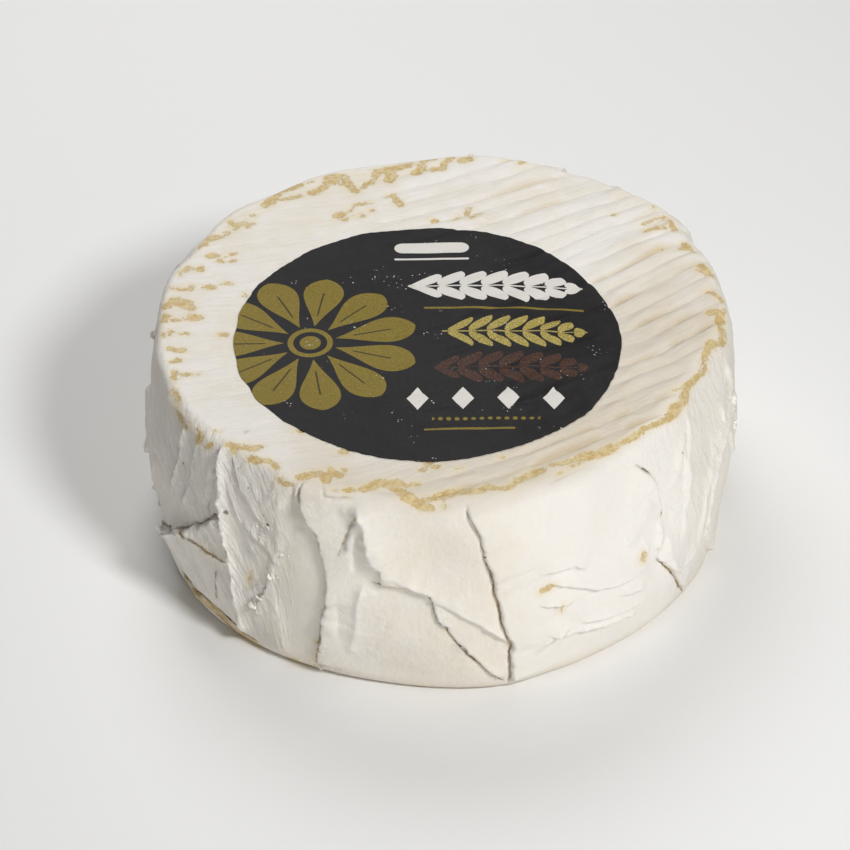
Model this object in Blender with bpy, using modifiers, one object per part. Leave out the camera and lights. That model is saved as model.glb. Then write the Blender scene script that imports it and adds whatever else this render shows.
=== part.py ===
"""Triple-cream cheese: a whole round wheel with a bloomy rind, and the round paper label on its top.

The wheel is one solid. It starts as a turned blank, a profile with a Screw modifier, and its points are
then moved to the shape of the real one: it is a little out of round, its top falls a little to the right,
its wall leans in under the rim on some sides, its top bears the ridges of its straw mat, and its side is
wrapped in folds and cracks of soft rind. A Decimate modifier then spends the facets where the relief is.

Turns are degrees round the wheel from the front (-Y), growing to the right (+X). A level is a height up
the side which runs on over the rim towards the middle of the top. Both, and all sizes, are in
millimetres, and MM turns them into Blender's metres.
"""

import math

import bpy
import numpy as np

MM = 0.001

# Driving dimensions of the wheel
WHEEL_RADIUS = 72.5
WHEEL_HEIGHT = 58.2
RIM_ROUNDING = 3.3
BASE_ROUNDING = 2.6
SIDE_BULGE = 2.7
TOP_FALL_TO_RIGHT = 0.008
TOP_RISE_TO_BACK = 0.002

# Out of round, as shares of the radius: two and three waves round the wheel
OVAL_WAVES = ((2, -0.004, 0.020), (3, -0.008, 0.002))

# How far the wall leans in under the rim, draws in at its middle, and tucks in at the base, by turn
TOP_LEAN = ((-180, 0.0), (-160, -1.5), (-145, 0.3), (-128, -1.3), (-120, -0.5), (-113, 0.8), (-104, -0.2))
TOP_LEAN += ((-92, 1.0), (-80, 0.7), (-45, 0.0), (0, -0.5), (22, 1.6), (45, 5.8), (68, 5.6), (95, 0.2))
TOP_LEAN += ((118, 0.3), (131, -1.4), (152, -1.0))
WAIST = ((-110, 0.3), (-85, 1.5), (-72, 0.8), (-60, 0.0), (70, 0.0), (84, 0.6), (94, 0.7), (110, 0.0))
BASE_TUCK = ((-180, 0.4), (-120, 0.6), (-78, 1.8), (-62, 0.6), (-45, -0.4), (-15, 0.2), (12, -1.4))
BASE_TUCK += ((23, -0.2), (34, 0.3), (46, 0.0), (62, -0.3), (80, 1.5), (110, 0.4))
LEAN_FROM = 0.42

# The paper label
LABEL_RADIUS = 47.8
LABEL_CENTRE = (-3.9, -8.9)
LABEL_THICKNESS = 0.3
LABEL_GAP = 0.3

# The mat's furrows: curves y = c + slope x + bend x^2, at these values of c, with sharp furrows and
# round ridges between them
MAT_SLOPE = 0.444
MAT_BEND = 0.00238
MAT_FURROWS = (-90, -83, -76, -67.6, -62.4, -56, -49.6, -43, -35, -27.8, -21, -14.2, -8.2, -2.6, 3.6, 9.4, 15)
MAT_FURROWS += (21.6, 28.7, 36.2, 42.4, 48, 54.5, 61, 68, 75, 83)
MAT_DEPTH_LEFT = 0.35
MAT_DEPTH_RIGHT = 0.95
MAT_ROUNDNESS = 0.7
MAT_MIDDLE = 0.6
MAT_GROWS_FROM = -20.0
MAT_GROWS_OVER = 70.0
MAT_INSIDE_LABEL = 0.5
MAT_FADE = 4.5
MAT_OVER_RIM = 1.0
MAT_RIM_FADE = 5.0

# Folds of the rind: how far each stands out, the width of its drop, how far its lift reaches, the depth of
# the groove at its foot, and its path of (turn, level). The fold is on the left hand of someone who walks
# the path. One with a groove is a lifted lip, whose foot is on the path, and the others are ridges.
FOLDS = {
    "deep front fold": (
        1.8, 1.1, 8.0, 0.35,
        ((-27.5, 60), (-26.6, 54.2), (-23.2, 47), (-21.5, 36.4), (-21.2, 25.8), (-22.8, 16.2), (-24.5, 3)),
    ),
    "short rim crack": (0.5, 1.1, 4.0, 0.35, ((-15, 55.5), (-17, 50.6), (-18.9, 41.5))),
    "slanting fold above its hollow": (
        1.8, 4.5, 6.0, 0.0,
        ((-16.5, 58.2), (-13, 45.8), (-10.5, 39.2), (-5.2, 35.4)),
    ),
    "long slanting fold": (0.9, 2.2, 6.0, 0.0, ((-9, 38), (0, 30.4), (12.6, 15))),
    "crack under the slanting fold": (
        1.1, 1.1, 3.0, 0.35,
        ((-13.2, 36), (-5, 34.2), (-1.9, 30), (-1.2, 24.4), (4.5, 13.6), (11.5, 3.2)),
    ),
    "upright front fold": (
        1.4, 1.1, 9.0, 0.35,
        ((4, 59.5), (6.8, 48), (10, 28.6), (12.5, 15.4), (12.2, 3.6)),
    ),
    "soft ridge beside the crack": (0.9, 2.4, 2.4, 0.0, ((-14, 35.2), (-15.8, 25.4), (-17.5, 9.8))),
    "right curled panel": (
        1.3, 1.1, 10.0, 0.35,
        ((45.8, 34.6), (47, 44.2), (44.2, 50.2), (34.2, 56.3)),
    ),
    "crease into the curled panel": (0.8, 2.0, 2.5, 0.0, ((60, 50), (54, 42.8), (47.8, 38.8))),
    "right low crack": (0.9, 1.1, 5.0, 0.35, ((43.8, 26.4), (47.8, 19.8), (53.2, 8.6), (57.5, 2.2))),
    "right upright panel": (0.7, 1.1, 6.0, 0.0, ((63, 53), (60, 46.6), (51, 25))),
    "rolled right edge": (1.3, 1.6, 2.6, 0.0, ((82, 50), (79, 39.6), (66.2, 31), (62.5, 22))),
    "right edge lump": (1.0, 1.1, 5.0, 0.35, ((76, 38), (80, 27), (85, 23), (90, 26), (94, 34))),
    "right second wrinkle": (0.9, 1.4, 2.4, 0.0, ((19, 32.6), (26.5, 28), (34, 24.2), (39, 23.8))),
    "right fifth wrinkle": (0.9, 1.3, 2.4, 0.0, ((18.5, 17.4), (22.5, 14.6), (31.5, 13), (41, 9.6))),
    "left upright ridge": (1.4, 1.3, 1.3, 0.0, ((-46, 60), (-44.8, 41.2), (-42, 23.2), (-40.8, 3))),
    "groove left of the upright ridge": (-0.9, 1.6, 1.6, 0.0, ((-46.8, 54), (-48, 46), (-49.2, 35.4))),
    "left low flap": (1.9, 1.1, 8.0, 0.35, ((-44.8, 39), (-49.2, 33.4), (-56.2, 25.4), (-69.5, 12))),
    "ridge on the low flap": (
        1.3, 1.5, 1.8, 0.0,
        ((-58.5, 23), (-56.2, 25.4), (-51.8, 26.2), (-42.4, 24.8)),
    ),
    "left far ridge": (1.0, 1.1, 1.3, 0.0, ((-57.4, 56), (-58.2, 46.8), (-60.5, 33))),
    "left second far ridge": (0.7, 2.0, 2.4, 0.0, ((-66, 57), (-67.5, 46), (-70, 33), (-74, 22))),
    "left edge lobe": (2.0, 1.1, 5.0, 0.35, ((-98, 32), (-94, 24), (-88, 19.5), (-83, 22), (-80, 30))),
}

# The folds of the hidden back, guessed: the front's own, turned round the wheel, mirrored or upside down
BACK_TURNS = ({"turn": 128, "mirror": -1, "flip": False, "lift": 0.85},)
BACK_TURNS += ({"turn": -122, "mirror": 0.92, "flip": True, "lift": 0.9},)
FRONT_ENDS = 99

FOLD_END = 5.0
GROOVE_WIDTH = 1.4
LIP_INSET = 0.6
RIM_REACH = 10.0
RIM_SHARE = 0.5

# The unevenness of the wall and the top between the folds: height, wavelength and seed
WALL_SWELLS = ((0.30, 42.0, 3), (0.18, 19.0, 8))
TOP_SWELLS = ((0.30, 46.0, 5),)
SWELL_WAVES = 14

# How finely the blank is turned, and the triangles that stay
BLANK_STEPS = 456
WALL_PITCH = 1.05
TOP_PITCH = 1.2
COARSE_PITCH = 6.0
BASE_PITCH = 24.0
RIM_STEPS = 5
BASE_STEPS = 4
CHEESE_TRIANGLES = 10200
BASE_FLAT_BELOW = 0.26
SHARP_ANGLE = 50
LABEL_STEPS = 96
LABEL_RINGS = (0, 16, 29, 39, 44.5, LABEL_RADIUS)
MERGE_DISTANCE = 1e-6

# Colours, seen in the light parts of the rind and on the paper
RIND_COLOUR = (0.85, 0.81, 0.74, 1.0)
PAPER_COLOUR = (0.018, 0.016, 0.018, 1.0)


def clear_scene():
    for obj in list(bpy.data.objects):
        bpy.data.objects.remove(obj, do_unlink=True)


def smooth(value):
    """Runs from 0 to 1 as the value does, level at both ends."""
    share = np.clip(value, 0.0, 1.0)
    return share * share * (3.0 - 2.0 * share)


def by_turn(turn, stations):
    """A size given at a few turns round the wheel, blended between them."""
    turns = [station[0] for station in stations] + [stations[0][0] + 360]
    sizes = [station[1] for station in stations] + [stations[0][1]]
    wrapped = (turn - turns[0]) % 360 + turns[0]
    result = np.zeros_like(wrapped)
    for start, end, size, next_size in zip(turns, turns[1:], sizes, sizes[1:]):
        here = (wrapped >= start) & (wrapped < end)
        share = smooth((wrapped[here] - start) / (end - start))
        result[here] = size + (next_size - size) * share
    return result


def swell(points, swells):
    """Gentle seamless unevenness: waves of one length in many directions."""
    total = np.zeros(len(points))
    for height, wavelength, seed in swells:
        random = np.random.default_rng(seed)
        directions = random.normal(size=(SWELL_WAVES, 3))
        directions /= np.linalg.norm(directions, axis=1)[:, None]
        phases = random.uniform(0, 2 * math.pi, SWELL_WAVES)
        waves = np.cos(points @ directions.T * (2 * math.pi / wavelength) + phases)
        total += height * waves.sum(axis=1) * math.sqrt(2.0 / SWELL_WAVES)
    return total


def wall_radius(turn, height):
    """The wheel's radius at a turn and a height, before its folds."""
    from_right = np.radians(turn - 90)
    oval = np.ones_like(turn)
    for waves, cosine, sine in OVAL_WAVES:
        oval += cosine * np.cos(waves * from_right) + sine * np.sin(waves * from_right)
    share = height / WHEEL_HEIGHT
    lean = by_turn(turn, TOP_LEAN) * smooth((share - LEAN_FROM) / (1 - LEAN_FROM))
    tuck = by_turn(turn, BASE_TUCK) * smooth((LEAN_FROM - share) / LEAN_FROM)
    bulge = (SIDE_BULGE - by_turn(turn, WAIST)) * 4 * share * (1 - share)
    return WHEEL_RADIUS * oval + bulge - lean - tuck


def mat_relief(x, y):
    """Round ridges with sharp furrows between them, fading out under the label."""
    across = np.interp(y - MAT_SLOPE * x - MAT_BEND * x * x, MAT_FURROWS, np.arange(len(MAT_FURROWS)))
    depth = MAT_DEPTH_LEFT + (MAT_DEPTH_RIGHT - MAT_DEPTH_LEFT) * smooth((x - MAT_GROWS_FROM) / MAT_GROWS_OVER)
    from_label = np.hypot(x - LABEL_CENTRE[0], y - LABEL_CENTRE[1]) - LABEL_RADIUS
    ridges = np.abs(np.sin(math.pi * across)) ** MAT_ROUNDNESS - MAT_MIDDLE
    return depth * ridges * smooth((from_label + MAT_INSIDE_LABEL) / MAT_FADE)


def top_height(x, y):
    """How far the top stands above or below the wheel's nominal height."""
    points = np.stack([x, y, np.zeros_like(x)], axis=1)
    return -TOP_FALL_TO_RIGHT * x + TOP_RISE_TO_BACK * y + swell(points, TOP_SWELLS)


def fold_relief(turn, level, lift, drop, reach, groove, path):
    """One fold: it drops on one side and dies away over its reach on the other."""
    turns = np.array([point[0] for point in path], float)
    levels = np.array([point[1] for point in path], float)
    middle = turns.mean()
    along_wall = np.radians((turn - middle + 180) % 360 - 180) * WHEEL_RADIUS
    path_along = np.radians(turns - middle) * WHEEL_RADIUS
    nearest = np.full(len(turn), 1e9)
    signed = np.zeros(len(turn))
    walked = np.zeros(len(turn))
    length = 0.0
    for index in range(len(path) - 1):
        step_x = path_along[index + 1] - path_along[index]
        step_y = levels[index + 1] - levels[index]
        step = math.hypot(step_x, step_y)
        off_x = along_wall - path_along[index]
        off_y = level - levels[index]
        share = np.clip((off_x * step_x + off_y * step_y) / step**2, 0, 1)
        distance = np.hypot(off_x - share * step_x, off_y - share * step_y)
        side = np.where(step_x * off_y - step_y * off_x >= 0, 1.0, -1.0)
        closer = distance < nearest
        nearest = np.where(closer, distance, nearest)
        signed = np.where(closer, distance * side, signed)
        walked = np.where(closer, length + share * step, walked)
        length += step
    if groove > 0:
        signed = signed - LIP_INSET
    fade = smooth(walked / FOLD_END) * smooth((length - walked) / FOLD_END)
    lip = smooth(signed / drop + 1) * np.exp(-np.maximum(signed, 0) / reach)
    foot = np.exp(-(((signed + drop) / GROOVE_WIDTH) ** 2))
    return lift * fade * (lip - groove * foot)


def all_folds():
    """The front's folds and their guessed copies on the back."""
    folds = list(FOLDS.values())
    for back in BACK_TURNS:
        for lift, drop, reach, groove, path in FOLDS.values():
            turned = []
            for turn, level in path:
                height = WHEEL_HEIGHT - level if back["flip"] else level
                turned.append((back["turn"] + back["mirror"] * turn, height))
            if min(abs((turn + 180) % 360 - 180) for turn, _ in turned) > FRONT_ENDS:
                folds.append((lift * back["lift"], drop, reach, groove, tuple(turned)))
    return folds


def add_object(name, mesh, collection):
    obj = bpy.data.objects.new(name, mesh)
    collection.objects.link(obj)
    return obj


def turned_blank(name, profile, steps, collection):
    """A profile of (radius, height), from the middle of the top down to the middle of the base."""
    mesh = bpy.data.meshes.new(name)
    points = [(radius * MM, 0.0, height * MM) for radius, height in profile]
    mesh.from_pydata(points, [(i, i + 1) for i in range(len(points) - 1)], [])
    obj = add_object(name, mesh, collection)
    screw = obj.modifiers.new("Screw", "SCREW")
    screw.steps = steps
    screw.render_steps = steps
    screw.use_merge_vertices = True
    screw.merge_threshold = MERGE_DISTANCE
    return obj


def evaluated_mesh(obj, name):
    """The object's mesh with its modifiers applied; the object itself is removed."""
    depsgraph = bpy.context.evaluated_depsgraph_get()
    mesh = bpy.data.meshes.new_from_object(obj.evaluated_get(depsgraph))
    bpy.data.objects.remove(obj, do_unlink=True)
    mesh.name = name
    return mesh


def read_points(mesh):
    flat = np.empty(len(mesh.vertices) * 3)
    mesh.vertices.foreach_get("co", flat)
    return flat.reshape(-1, 3) / MM


def write_points(mesh, points):
    mesh.vertices.foreach_set("co", (points * MM).ravel())
    mesh.update()


def spaced(start, end, pitch):
    """Evenly spaced values from start up to but not including end."""
    return list(np.linspace(start, end, max(1, round(abs(end - start) / pitch)), endpoint=False))


def quarter_round(centre_radius, centre_height, rounding, start, steps):
    """A quarter of a circle in the blank's outline, turning inward and down from the start angle."""
    points = []
    for angle in spaced(start, start - math.pi / 2, math.pi / 2 / steps):
        outward = rounding * math.cos(angle)
        upward = rounding * math.sin(angle)
        points.append((centre_radius + outward, centre_height + upward))
    return points


def wheel_profile():
    """The blank's outline: fine where the relief is, coarse under the label and on the base."""
    fine_from = LABEL_RADIUS - math.hypot(*LABEL_CENTRE) - 2 * TOP_PITCH
    rim_start = WHEEL_RADIUS - RIM_ROUNDING
    base_start = WHEEL_RADIUS - BASE_ROUNDING
    rim_height = WHEEL_HEIGHT - RIM_ROUNDING
    radii = spaced(0, fine_from, COARSE_PITCH) + spaced(fine_from, rim_start, TOP_PITCH)
    profile = [(radius, WHEEL_HEIGHT) for radius in radii]
    profile += quarter_round(rim_start, rim_height, RIM_ROUNDING, math.pi / 2, RIM_STEPS)
    profile += [(WHEEL_RADIUS, height) for height in spaced(rim_height, BASE_ROUNDING, WALL_PITCH)]
    profile += quarter_round(base_start, BASE_ROUNDING, BASE_ROUNDING, 0, BASE_STEPS)
    profile += [(radius, 0.0) for radius in spaced(base_start, 0, BASE_PITCH)]
    return profile + [(0.0, 0.0)]


def shape_wheel(points):
    """Moves the blank's points to the shape of the real wheel."""
    radius = np.hypot(points[:, 0], points[:, 1])
    height = points[:, 2]
    turn = np.degrees(np.arctan2(points[:, 0], -points[:, 1]))
    inward = WHEEL_RADIUS - radius
    level = height + inward

    up = np.clip((height - WHEEL_HEIGHT + RIM_ROUNDING) / RIM_ROUNDING, 0, 1)
    out = np.sqrt(np.clip(1 - up * up, 0, 1))
    above_base = smooth(height / (2 * BASE_ROUNDING))

    grown = radius / WHEEL_RADIUS * wall_radius(turn, height)
    unit_x = np.sin(np.radians(turn))
    unit_y = -np.cos(np.radians(turn))
    where = np.stack([grown * unit_x, grown * unit_y, height], axis=1)

    lift = swell(where, WALL_SWELLS)
    for fold in all_folds():
        lift += fold_relief(turn, level, *fold)
    lift *= above_base * smooth(1 - (inward - RIM_ROUNDING) / RIM_REACH)

    grown += out * lift
    shaped = np.stack([grown * unit_x, grown * unit_y, height], axis=1)
    rise = top_height(shaped[:, 0], shaped[:, 1]) * smooth(height / WHEEL_HEIGHT)
    ridges = mat_relief(shaped[:, 0], shaped[:, 1]) * smooth((inward + MAT_OVER_RIM) / MAT_RIM_FADE)
    shaped[:, 2] += rise + up * (ridges + RIM_SHARE * lift)
    return shaped


def decimated(mesh, name, triangles, collection):
    obj = add_object(name, mesh, collection)
    modifier = obj.modifiers.new("Decimate", "DECIMATE")
    mesh.calc_loop_triangles()
    modifier.ratio = triangles / len(mesh.loop_triangles)
    return evaluated_mesh(obj, name)


def make_cheese(collection):
    blank = turned_blank("blank", wheel_profile(), BLANK_STEPS, collection)
    mesh = evaluated_mesh(blank, "cheese_wheel")
    write_points(mesh, shape_wheel(read_points(mesh)))
    mesh = decimated(mesh, "cheese_wheel", CHEESE_TRIANGLES, collection)
    # The base stays one true plane, which the wheel rests on
    points = read_points(mesh)
    points[points[:, 2] < BASE_FLAT_BELOW, 2] = 0.0
    write_points(mesh, points)
    return add_object("cheese_wheel", mesh, collection)


def make_label(collection):
    profile = [(radius, LABEL_THICKNESS) for radius in LABEL_RINGS]
    profile += [(radius, 0.0) for radius in reversed(LABEL_RINGS)]
    blank = turned_blank("blank", profile, LABEL_STEPS, collection)
    mesh = evaluated_mesh(blank, "paper_label")
    points = read_points(mesh)
    points[:, 0] += LABEL_CENTRE[0]
    points[:, 1] += LABEL_CENTRE[1]
    points[:, 2] += WHEEL_HEIGHT + LABEL_GAP + top_height(points[:, 0], points[:, 1])
    write_points(mesh, points)
    return add_object("paper_label", mesh, collection)


def centre_on_origin(objects):
    """Puts the origin under the middle of the whole object's box."""
    points = np.concatenate([read_points(obj.data) for obj in objects])
    middle = (points.min(axis=0) + points.max(axis=0)) / 2
    middle[2] = 0.0
    for obj in objects:
        write_points(obj.data, read_points(obj.data) - middle)


def add_material(obj, name, colour, roughness):
    material = bpy.data.materials.new(name)
    material.use_nodes = True
    shader = material.node_tree.nodes["Principled BSDF"]
    shader.inputs["Base Color"].default_value = colour
    shader.inputs["Roughness"].default_value = roughness
    shader.inputs["Metallic"].default_value = 0.0
    material.diffuse_color = colour
    obj.data.materials.clear()
    obj.data.materials.append(material)


def main():
    clear_scene()
    collection = bpy.data.collections.new("Triple-cream cheese")
    bpy.context.scene.collection.children.link(collection)
    cheese = make_cheese(collection)
    label = make_label(collection)
    centre_on_origin([cheese, label])
    for obj in (cheese, label):
        obj.data.shade_smooth()
        obj.data.set_sharp_from_angle(angle=math.radians(SHARP_ANGLE))
    add_material(cheese, "bloomy rind", RIND_COLOUR, 0.75)
    add_material(label, "printed paper", PAPER_COLOUR, 0.5)


main()
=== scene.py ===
"""Looks of the triple-cream cheese: its folded bloomy rind, the dry mould on it and its paper label.

Sizes are in millimetres, and MM turns them into Blender's metres. A turn is degrees round the wheel from
the front (-Y), growing to the right (+X). A level is a height up the side, which runs on over the rim
towards the middle of the top.
"""

import math

import bpy
import numpy as np
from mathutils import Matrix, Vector


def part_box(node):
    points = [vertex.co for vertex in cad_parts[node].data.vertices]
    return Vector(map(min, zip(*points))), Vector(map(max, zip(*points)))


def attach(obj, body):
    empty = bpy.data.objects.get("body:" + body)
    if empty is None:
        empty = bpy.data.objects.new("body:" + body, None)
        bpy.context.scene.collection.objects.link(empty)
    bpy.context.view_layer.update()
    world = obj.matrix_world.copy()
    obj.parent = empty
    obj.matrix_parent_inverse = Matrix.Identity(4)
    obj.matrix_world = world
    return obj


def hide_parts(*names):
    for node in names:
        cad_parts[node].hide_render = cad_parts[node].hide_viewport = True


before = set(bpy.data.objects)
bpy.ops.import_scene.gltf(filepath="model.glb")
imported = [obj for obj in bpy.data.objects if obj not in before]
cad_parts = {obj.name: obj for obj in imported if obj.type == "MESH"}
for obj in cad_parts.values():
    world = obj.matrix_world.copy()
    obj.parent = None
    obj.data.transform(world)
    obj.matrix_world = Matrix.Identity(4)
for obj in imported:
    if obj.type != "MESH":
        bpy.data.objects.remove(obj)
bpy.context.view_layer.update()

# The wheel: one uncut cheese, moulded in a hoop and ripened on a straw mat, whose ridges its top keeps.
# Its wall sagged and leans in under the rim in places, and it is a little out of round. It starts as a
# turned profile, and its points are then moved to the shape of the real one.

MM = 0.001
WHEEL_RADIUS = 72.5
WHEEL_HEIGHT = 58.2
RIM_ROUNDING = 3.3
BASE_ROUNDING = 2.6
SIDE_BULGE = 2.7
TOP_FALL_TO_RIGHT = 0.008
TOP_RISE_TO_BACK = 0.002
OVAL_WAVES = ((2, -0.004, 0.020), (3, -0.008, 0.002))
TOP_LEAN = ((-180, 0.0), (-160, -1.5), (-145, 0.3), (-128, -1.3), (-120, -0.5), (-113, 0.8), (-104, -0.2))
TOP_LEAN += ((-92, 1.0), (-80, 0.7), (-45, 0.0), (0, -0.5), (22, 1.6), (45, 5.8), (68, 5.6), (95, 0.2))
TOP_LEAN += ((118, 0.3), (131, -1.4), (152, -1.0))
WAIST = ((-110, 0.3), (-85, 1.5), (-72, 0.8), (-60, 0.0), (70, 0.0), (84, 0.6), (94, 0.7), (110, 0.0))
BASE_TUCK = ((-180, 0.4), (-120, 0.6), (-78, 1.8), (-62, 0.6), (-45, -0.4), (-15, 0.2), (12, -1.4))
BASE_TUCK += ((23, -0.2), (34, 0.3), (46, 0.0), (62, -0.3), (80, 1.5), (110, 0.4))
LEAN_FROM = 0.42
UNDER_LABEL_DROP = 0.5
LIFT_OVER_RIM = 10
CRUMPLE_OVER_RIM = 30
RELIEF_OVER_RIM = 5
WALL_SWELLS = ((0.30, 42.0, 3), (0.18, 19.0, 8))
TOP_SWELLS = ((0.30, 46.0, 5),)
SWELL_WAVES = 14
FAR_AWAY = 1e9

LABEL_RADIUS = 47.8
LABEL_CENTRE = np.array((-3.9, -8.9))

# The wheel's axis in the frame: the label's box gives it
label_corners = np.array(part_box("paper_label"))
wheel_axis = label_corners[:, :2].mean(axis=0) / MM - LABEL_CENTRE

WALL_PITCH = 0.36
TOP_PITCH = 0.42
COARSE_PITCH = 5.0
TURN_STEPS = 1340
WHEEL_TRIANGLES = 196000
MERGE_DISTANCE = 1e-6


def smooth(value):
    """Runs from 0 to 1 as the value does, level at both ends."""
    share = np.clip(value, 0.0, 1.0)
    return share * share * (3.0 - 2.0 * share)


def by_turn(turn, stations):
    """A size given at a few turns round the wheel, blended between them."""
    turns = [station[0] for station in stations] + [stations[0][0] + 360]
    sizes = [station[1] for station in stations] + [stations[0][1]]
    wrapped = (turn - turns[0]) % 360 + turns[0]
    result = np.zeros_like(wrapped)
    for start, end, size, next_size in zip(turns, turns[1:], sizes, sizes[1:]):
        here = (wrapped >= start) & (wrapped < end)
        share = smooth((wrapped[here] - start) / (end - start))
        result[here] = size + (next_size - size) * share
    return result


def swell(points, swells):
    """Gentle seamless unevenness: waves of one length in many directions."""
    total = np.zeros(len(points))
    for height, wavelength, seed in swells:
        random = np.random.default_rng(seed)
        directions = random.normal(size=(SWELL_WAVES, 3))
        directions /= np.linalg.norm(directions, axis=1)[:, None]
        phases = random.uniform(0, 2 * math.pi, SWELL_WAVES)
        waves = np.cos(points @ directions.T * (2 * math.pi / wavelength) + phases)
        total += height * waves.sum(axis=1) * math.sqrt(2.0 / SWELL_WAVES)
    return total


def flat_points(x, y):
    return np.stack([x, y, np.zeros_like(x)], axis=1)


def outward(turn):
    """The direction out of the wheel at each turn."""
    return np.stack([np.sin(np.radians(turn)), -np.cos(np.radians(turn))], axis=1)


def along_wall(turn, from_turn):
    """How far round the wall each turn is from another, the short way, in millimetres."""
    return np.radians((turn - from_turn + 180) % 360 - 180) * WHEEL_RADIUS


def from_label_centre(x, y):
    return np.hypot(x - LABEL_CENTRE[0], y - LABEL_CENTRE[1])


def wall_radius(turn, height):
    """The wheel's radius at a turn and a height, before its folds."""
    from_right = np.radians(turn - 90)
    oval = np.ones_like(turn)
    for waves, cosine, sine in OVAL_WAVES:
        oval += cosine * np.cos(waves * from_right) + sine * np.sin(waves * from_right)
    share = height / WHEEL_HEIGHT
    lean = by_turn(turn, TOP_LEAN) * smooth((share - LEAN_FROM) / (1 - LEAN_FROM))
    tuck = by_turn(turn, BASE_TUCK) * smooth((LEAN_FROM - share) / LEAN_FROM)
    bulge = (SIDE_BULGE - by_turn(turn, WAIST)) * 4 * share * (1 - share)
    return WHEEL_RADIUS * oval + bulge - lean - tuck


def top_height(x, y):
    """How far the top stands above or below the wheel's nominal height."""
    return -TOP_FALL_TO_RIGHT * x + TOP_RISE_TO_BACK * y + swell(flat_points(x, y), TOP_SWELLS)


def spaced(start, end, pitch):
    """Evenly spaced values from start up to but not including end."""
    return list(np.linspace(start, end, max(1, round(abs(end - start) / pitch)), endpoint=False))


def linked(name, data):
    """A new object at the origin, in the scene."""
    obj = bpy.data.objects.new(name, data)
    bpy.context.scene.collection.objects.link(obj)
    return obj


def turned(name, profile, steps):
    """The mesh of a profile of (radius, height), from the middle of the top down, turned about the axis."""
    mesh = bpy.data.meshes.new(name)
    points = [(radius * MM, 0.0, height * MM) for radius, height in profile]
    mesh.from_pydata(points, [(i, i + 1) for i in range(len(points) - 1)], [])
    blank = linked(name, mesh)
    screw = blank.modifiers.new("Screw", "SCREW")
    screw.steps = steps
    screw.render_steps = steps
    screw.use_merge_vertices = True
    screw.merge_threshold = MERGE_DISTANCE
    return finished(blank, name)


def finished(obj, name):
    """The plain mesh of an object with its modifiers applied; the object itself is removed."""
    depsgraph = bpy.context.evaluated_depsgraph_get()
    mesh = bpy.data.meshes.new_from_object(obj.evaluated_get(depsgraph))
    bpy.data.objects.remove(obj, do_unlink=True)
    mesh.name = name
    return mesh


def shown(name, mesh):
    """An object with this mesh, shaded smooth."""
    mesh.shade_smooth()
    return linked(name, mesh)


def read_points(mesh):
    flat = np.empty(len(mesh.vertices) * 3)
    mesh.vertices.foreach_get("co", flat)
    return flat.reshape(-1, 3) / MM


def write_points(mesh, points):
    mesh.vertices.foreach_set("co", (points * MM).ravel())
    mesh.update()


def keep_in_box(mesh):
    """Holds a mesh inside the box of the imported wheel."""
    lowest, highest = np.array(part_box("cheese_wheel")) / MM
    write_points(mesh, np.clip(read_points(mesh), lowest, highest))


def wheel_profile():
    """Fine where the relief is, coarse under the label and on the base."""
    fine_from = LABEL_RADIUS - math.hypot(*LABEL_CENTRE) - 3
    rim_start = WHEEL_RADIUS - RIM_ROUNDING
    radii = spaced(0, fine_from, COARSE_PITCH) + spaced(fine_from, rim_start, TOP_PITCH)
    profile = [(radius, WHEEL_HEIGHT) for radius in radii]
    for angle in spaced(math.pi / 2, 0, WALL_PITCH / RIM_ROUNDING):
        drop = RIM_ROUNDING * (1 - math.sin(angle))
        profile.append((rim_start + RIM_ROUNDING * math.cos(angle), WHEEL_HEIGHT - drop))
    for height in spaced(WHEEL_HEIGHT - RIM_ROUNDING, BASE_ROUNDING, WALL_PITCH):
        profile.append((WHEEL_RADIUS, height))
    base_start = WHEEL_RADIUS - BASE_ROUNDING
    for angle in spaced(0, math.pi / 2, WALL_PITCH / BASE_ROUNDING):
        height = BASE_ROUNDING * (1 - math.sin(angle))
        profile.append((base_start + BASE_ROUNDING * math.cos(angle), height))
    return profile + [(radius, 0.0) for radius in spaced(base_start, 0, COARSE_PITCH)] + [(0.0, 0.0)]


# The mat's ridges: the straw pressed curved furrows into the top, deep on the right and faint on the
# left, with round ridges between them. Each furrow is a curve y = c + slope x + bend x^2, given by its c
# and how deep it is against the others.

MAT_SLOPE = 0.444
MAT_BEND = 0.00238
MAT_FURROWS = ((-90, 0.6), (-83, 0.3), (-76, 0.6), (-67.6, 1.3), (-62.4, 0.9), (-56, 0.3), (-49.6, 0.35))
MAT_FURROWS += ((-43, 1.1), (-35, 0.9), (-27.8, 1.2), (-21, 0.3), (-14.2, 1.1), (-8.2, 0.25), (-2.6, 1.1))
MAT_FURROWS += ((3.6, 0.25), (9.4, 0.25), (15, 1.0), (21.6, 0.25), (28.7, 0.4), (36.2, 1.1), (42.4, 0.5))
MAT_FURROWS += ((48, 1.2), (54.5, 0.35), (61, 0.6), (68, 0.5), (75, 0.5), (83, 0.5))
MAT_DEPTH_LEFT = 0.12
MAT_DEPTH_RIGHT = 1.35
MAT_DEEPENS_FROM = -35
MAT_DEEPENS_OVER = 85
MAT_UNDER_LABEL = 0.3
FURROW_WIDTH = 0.85
RIDGE_CROWN = 0.35
RIDGE_LIFT = 0.15
MAT_WANDER = ((0.7, 40.0, 21), (0.2, 14.0, 22))
MAT_UNEVEN = ((0.45, 21.0, 23), (0.30, 9.0, 24))


def across_mat(x, y):
    """Where each point lies across the mat's curved straws, in millimetres."""
    return y + swell(flat_points(x, y), MAT_WANDER) - MAT_SLOPE * x - MAT_BEND * x * x


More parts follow.
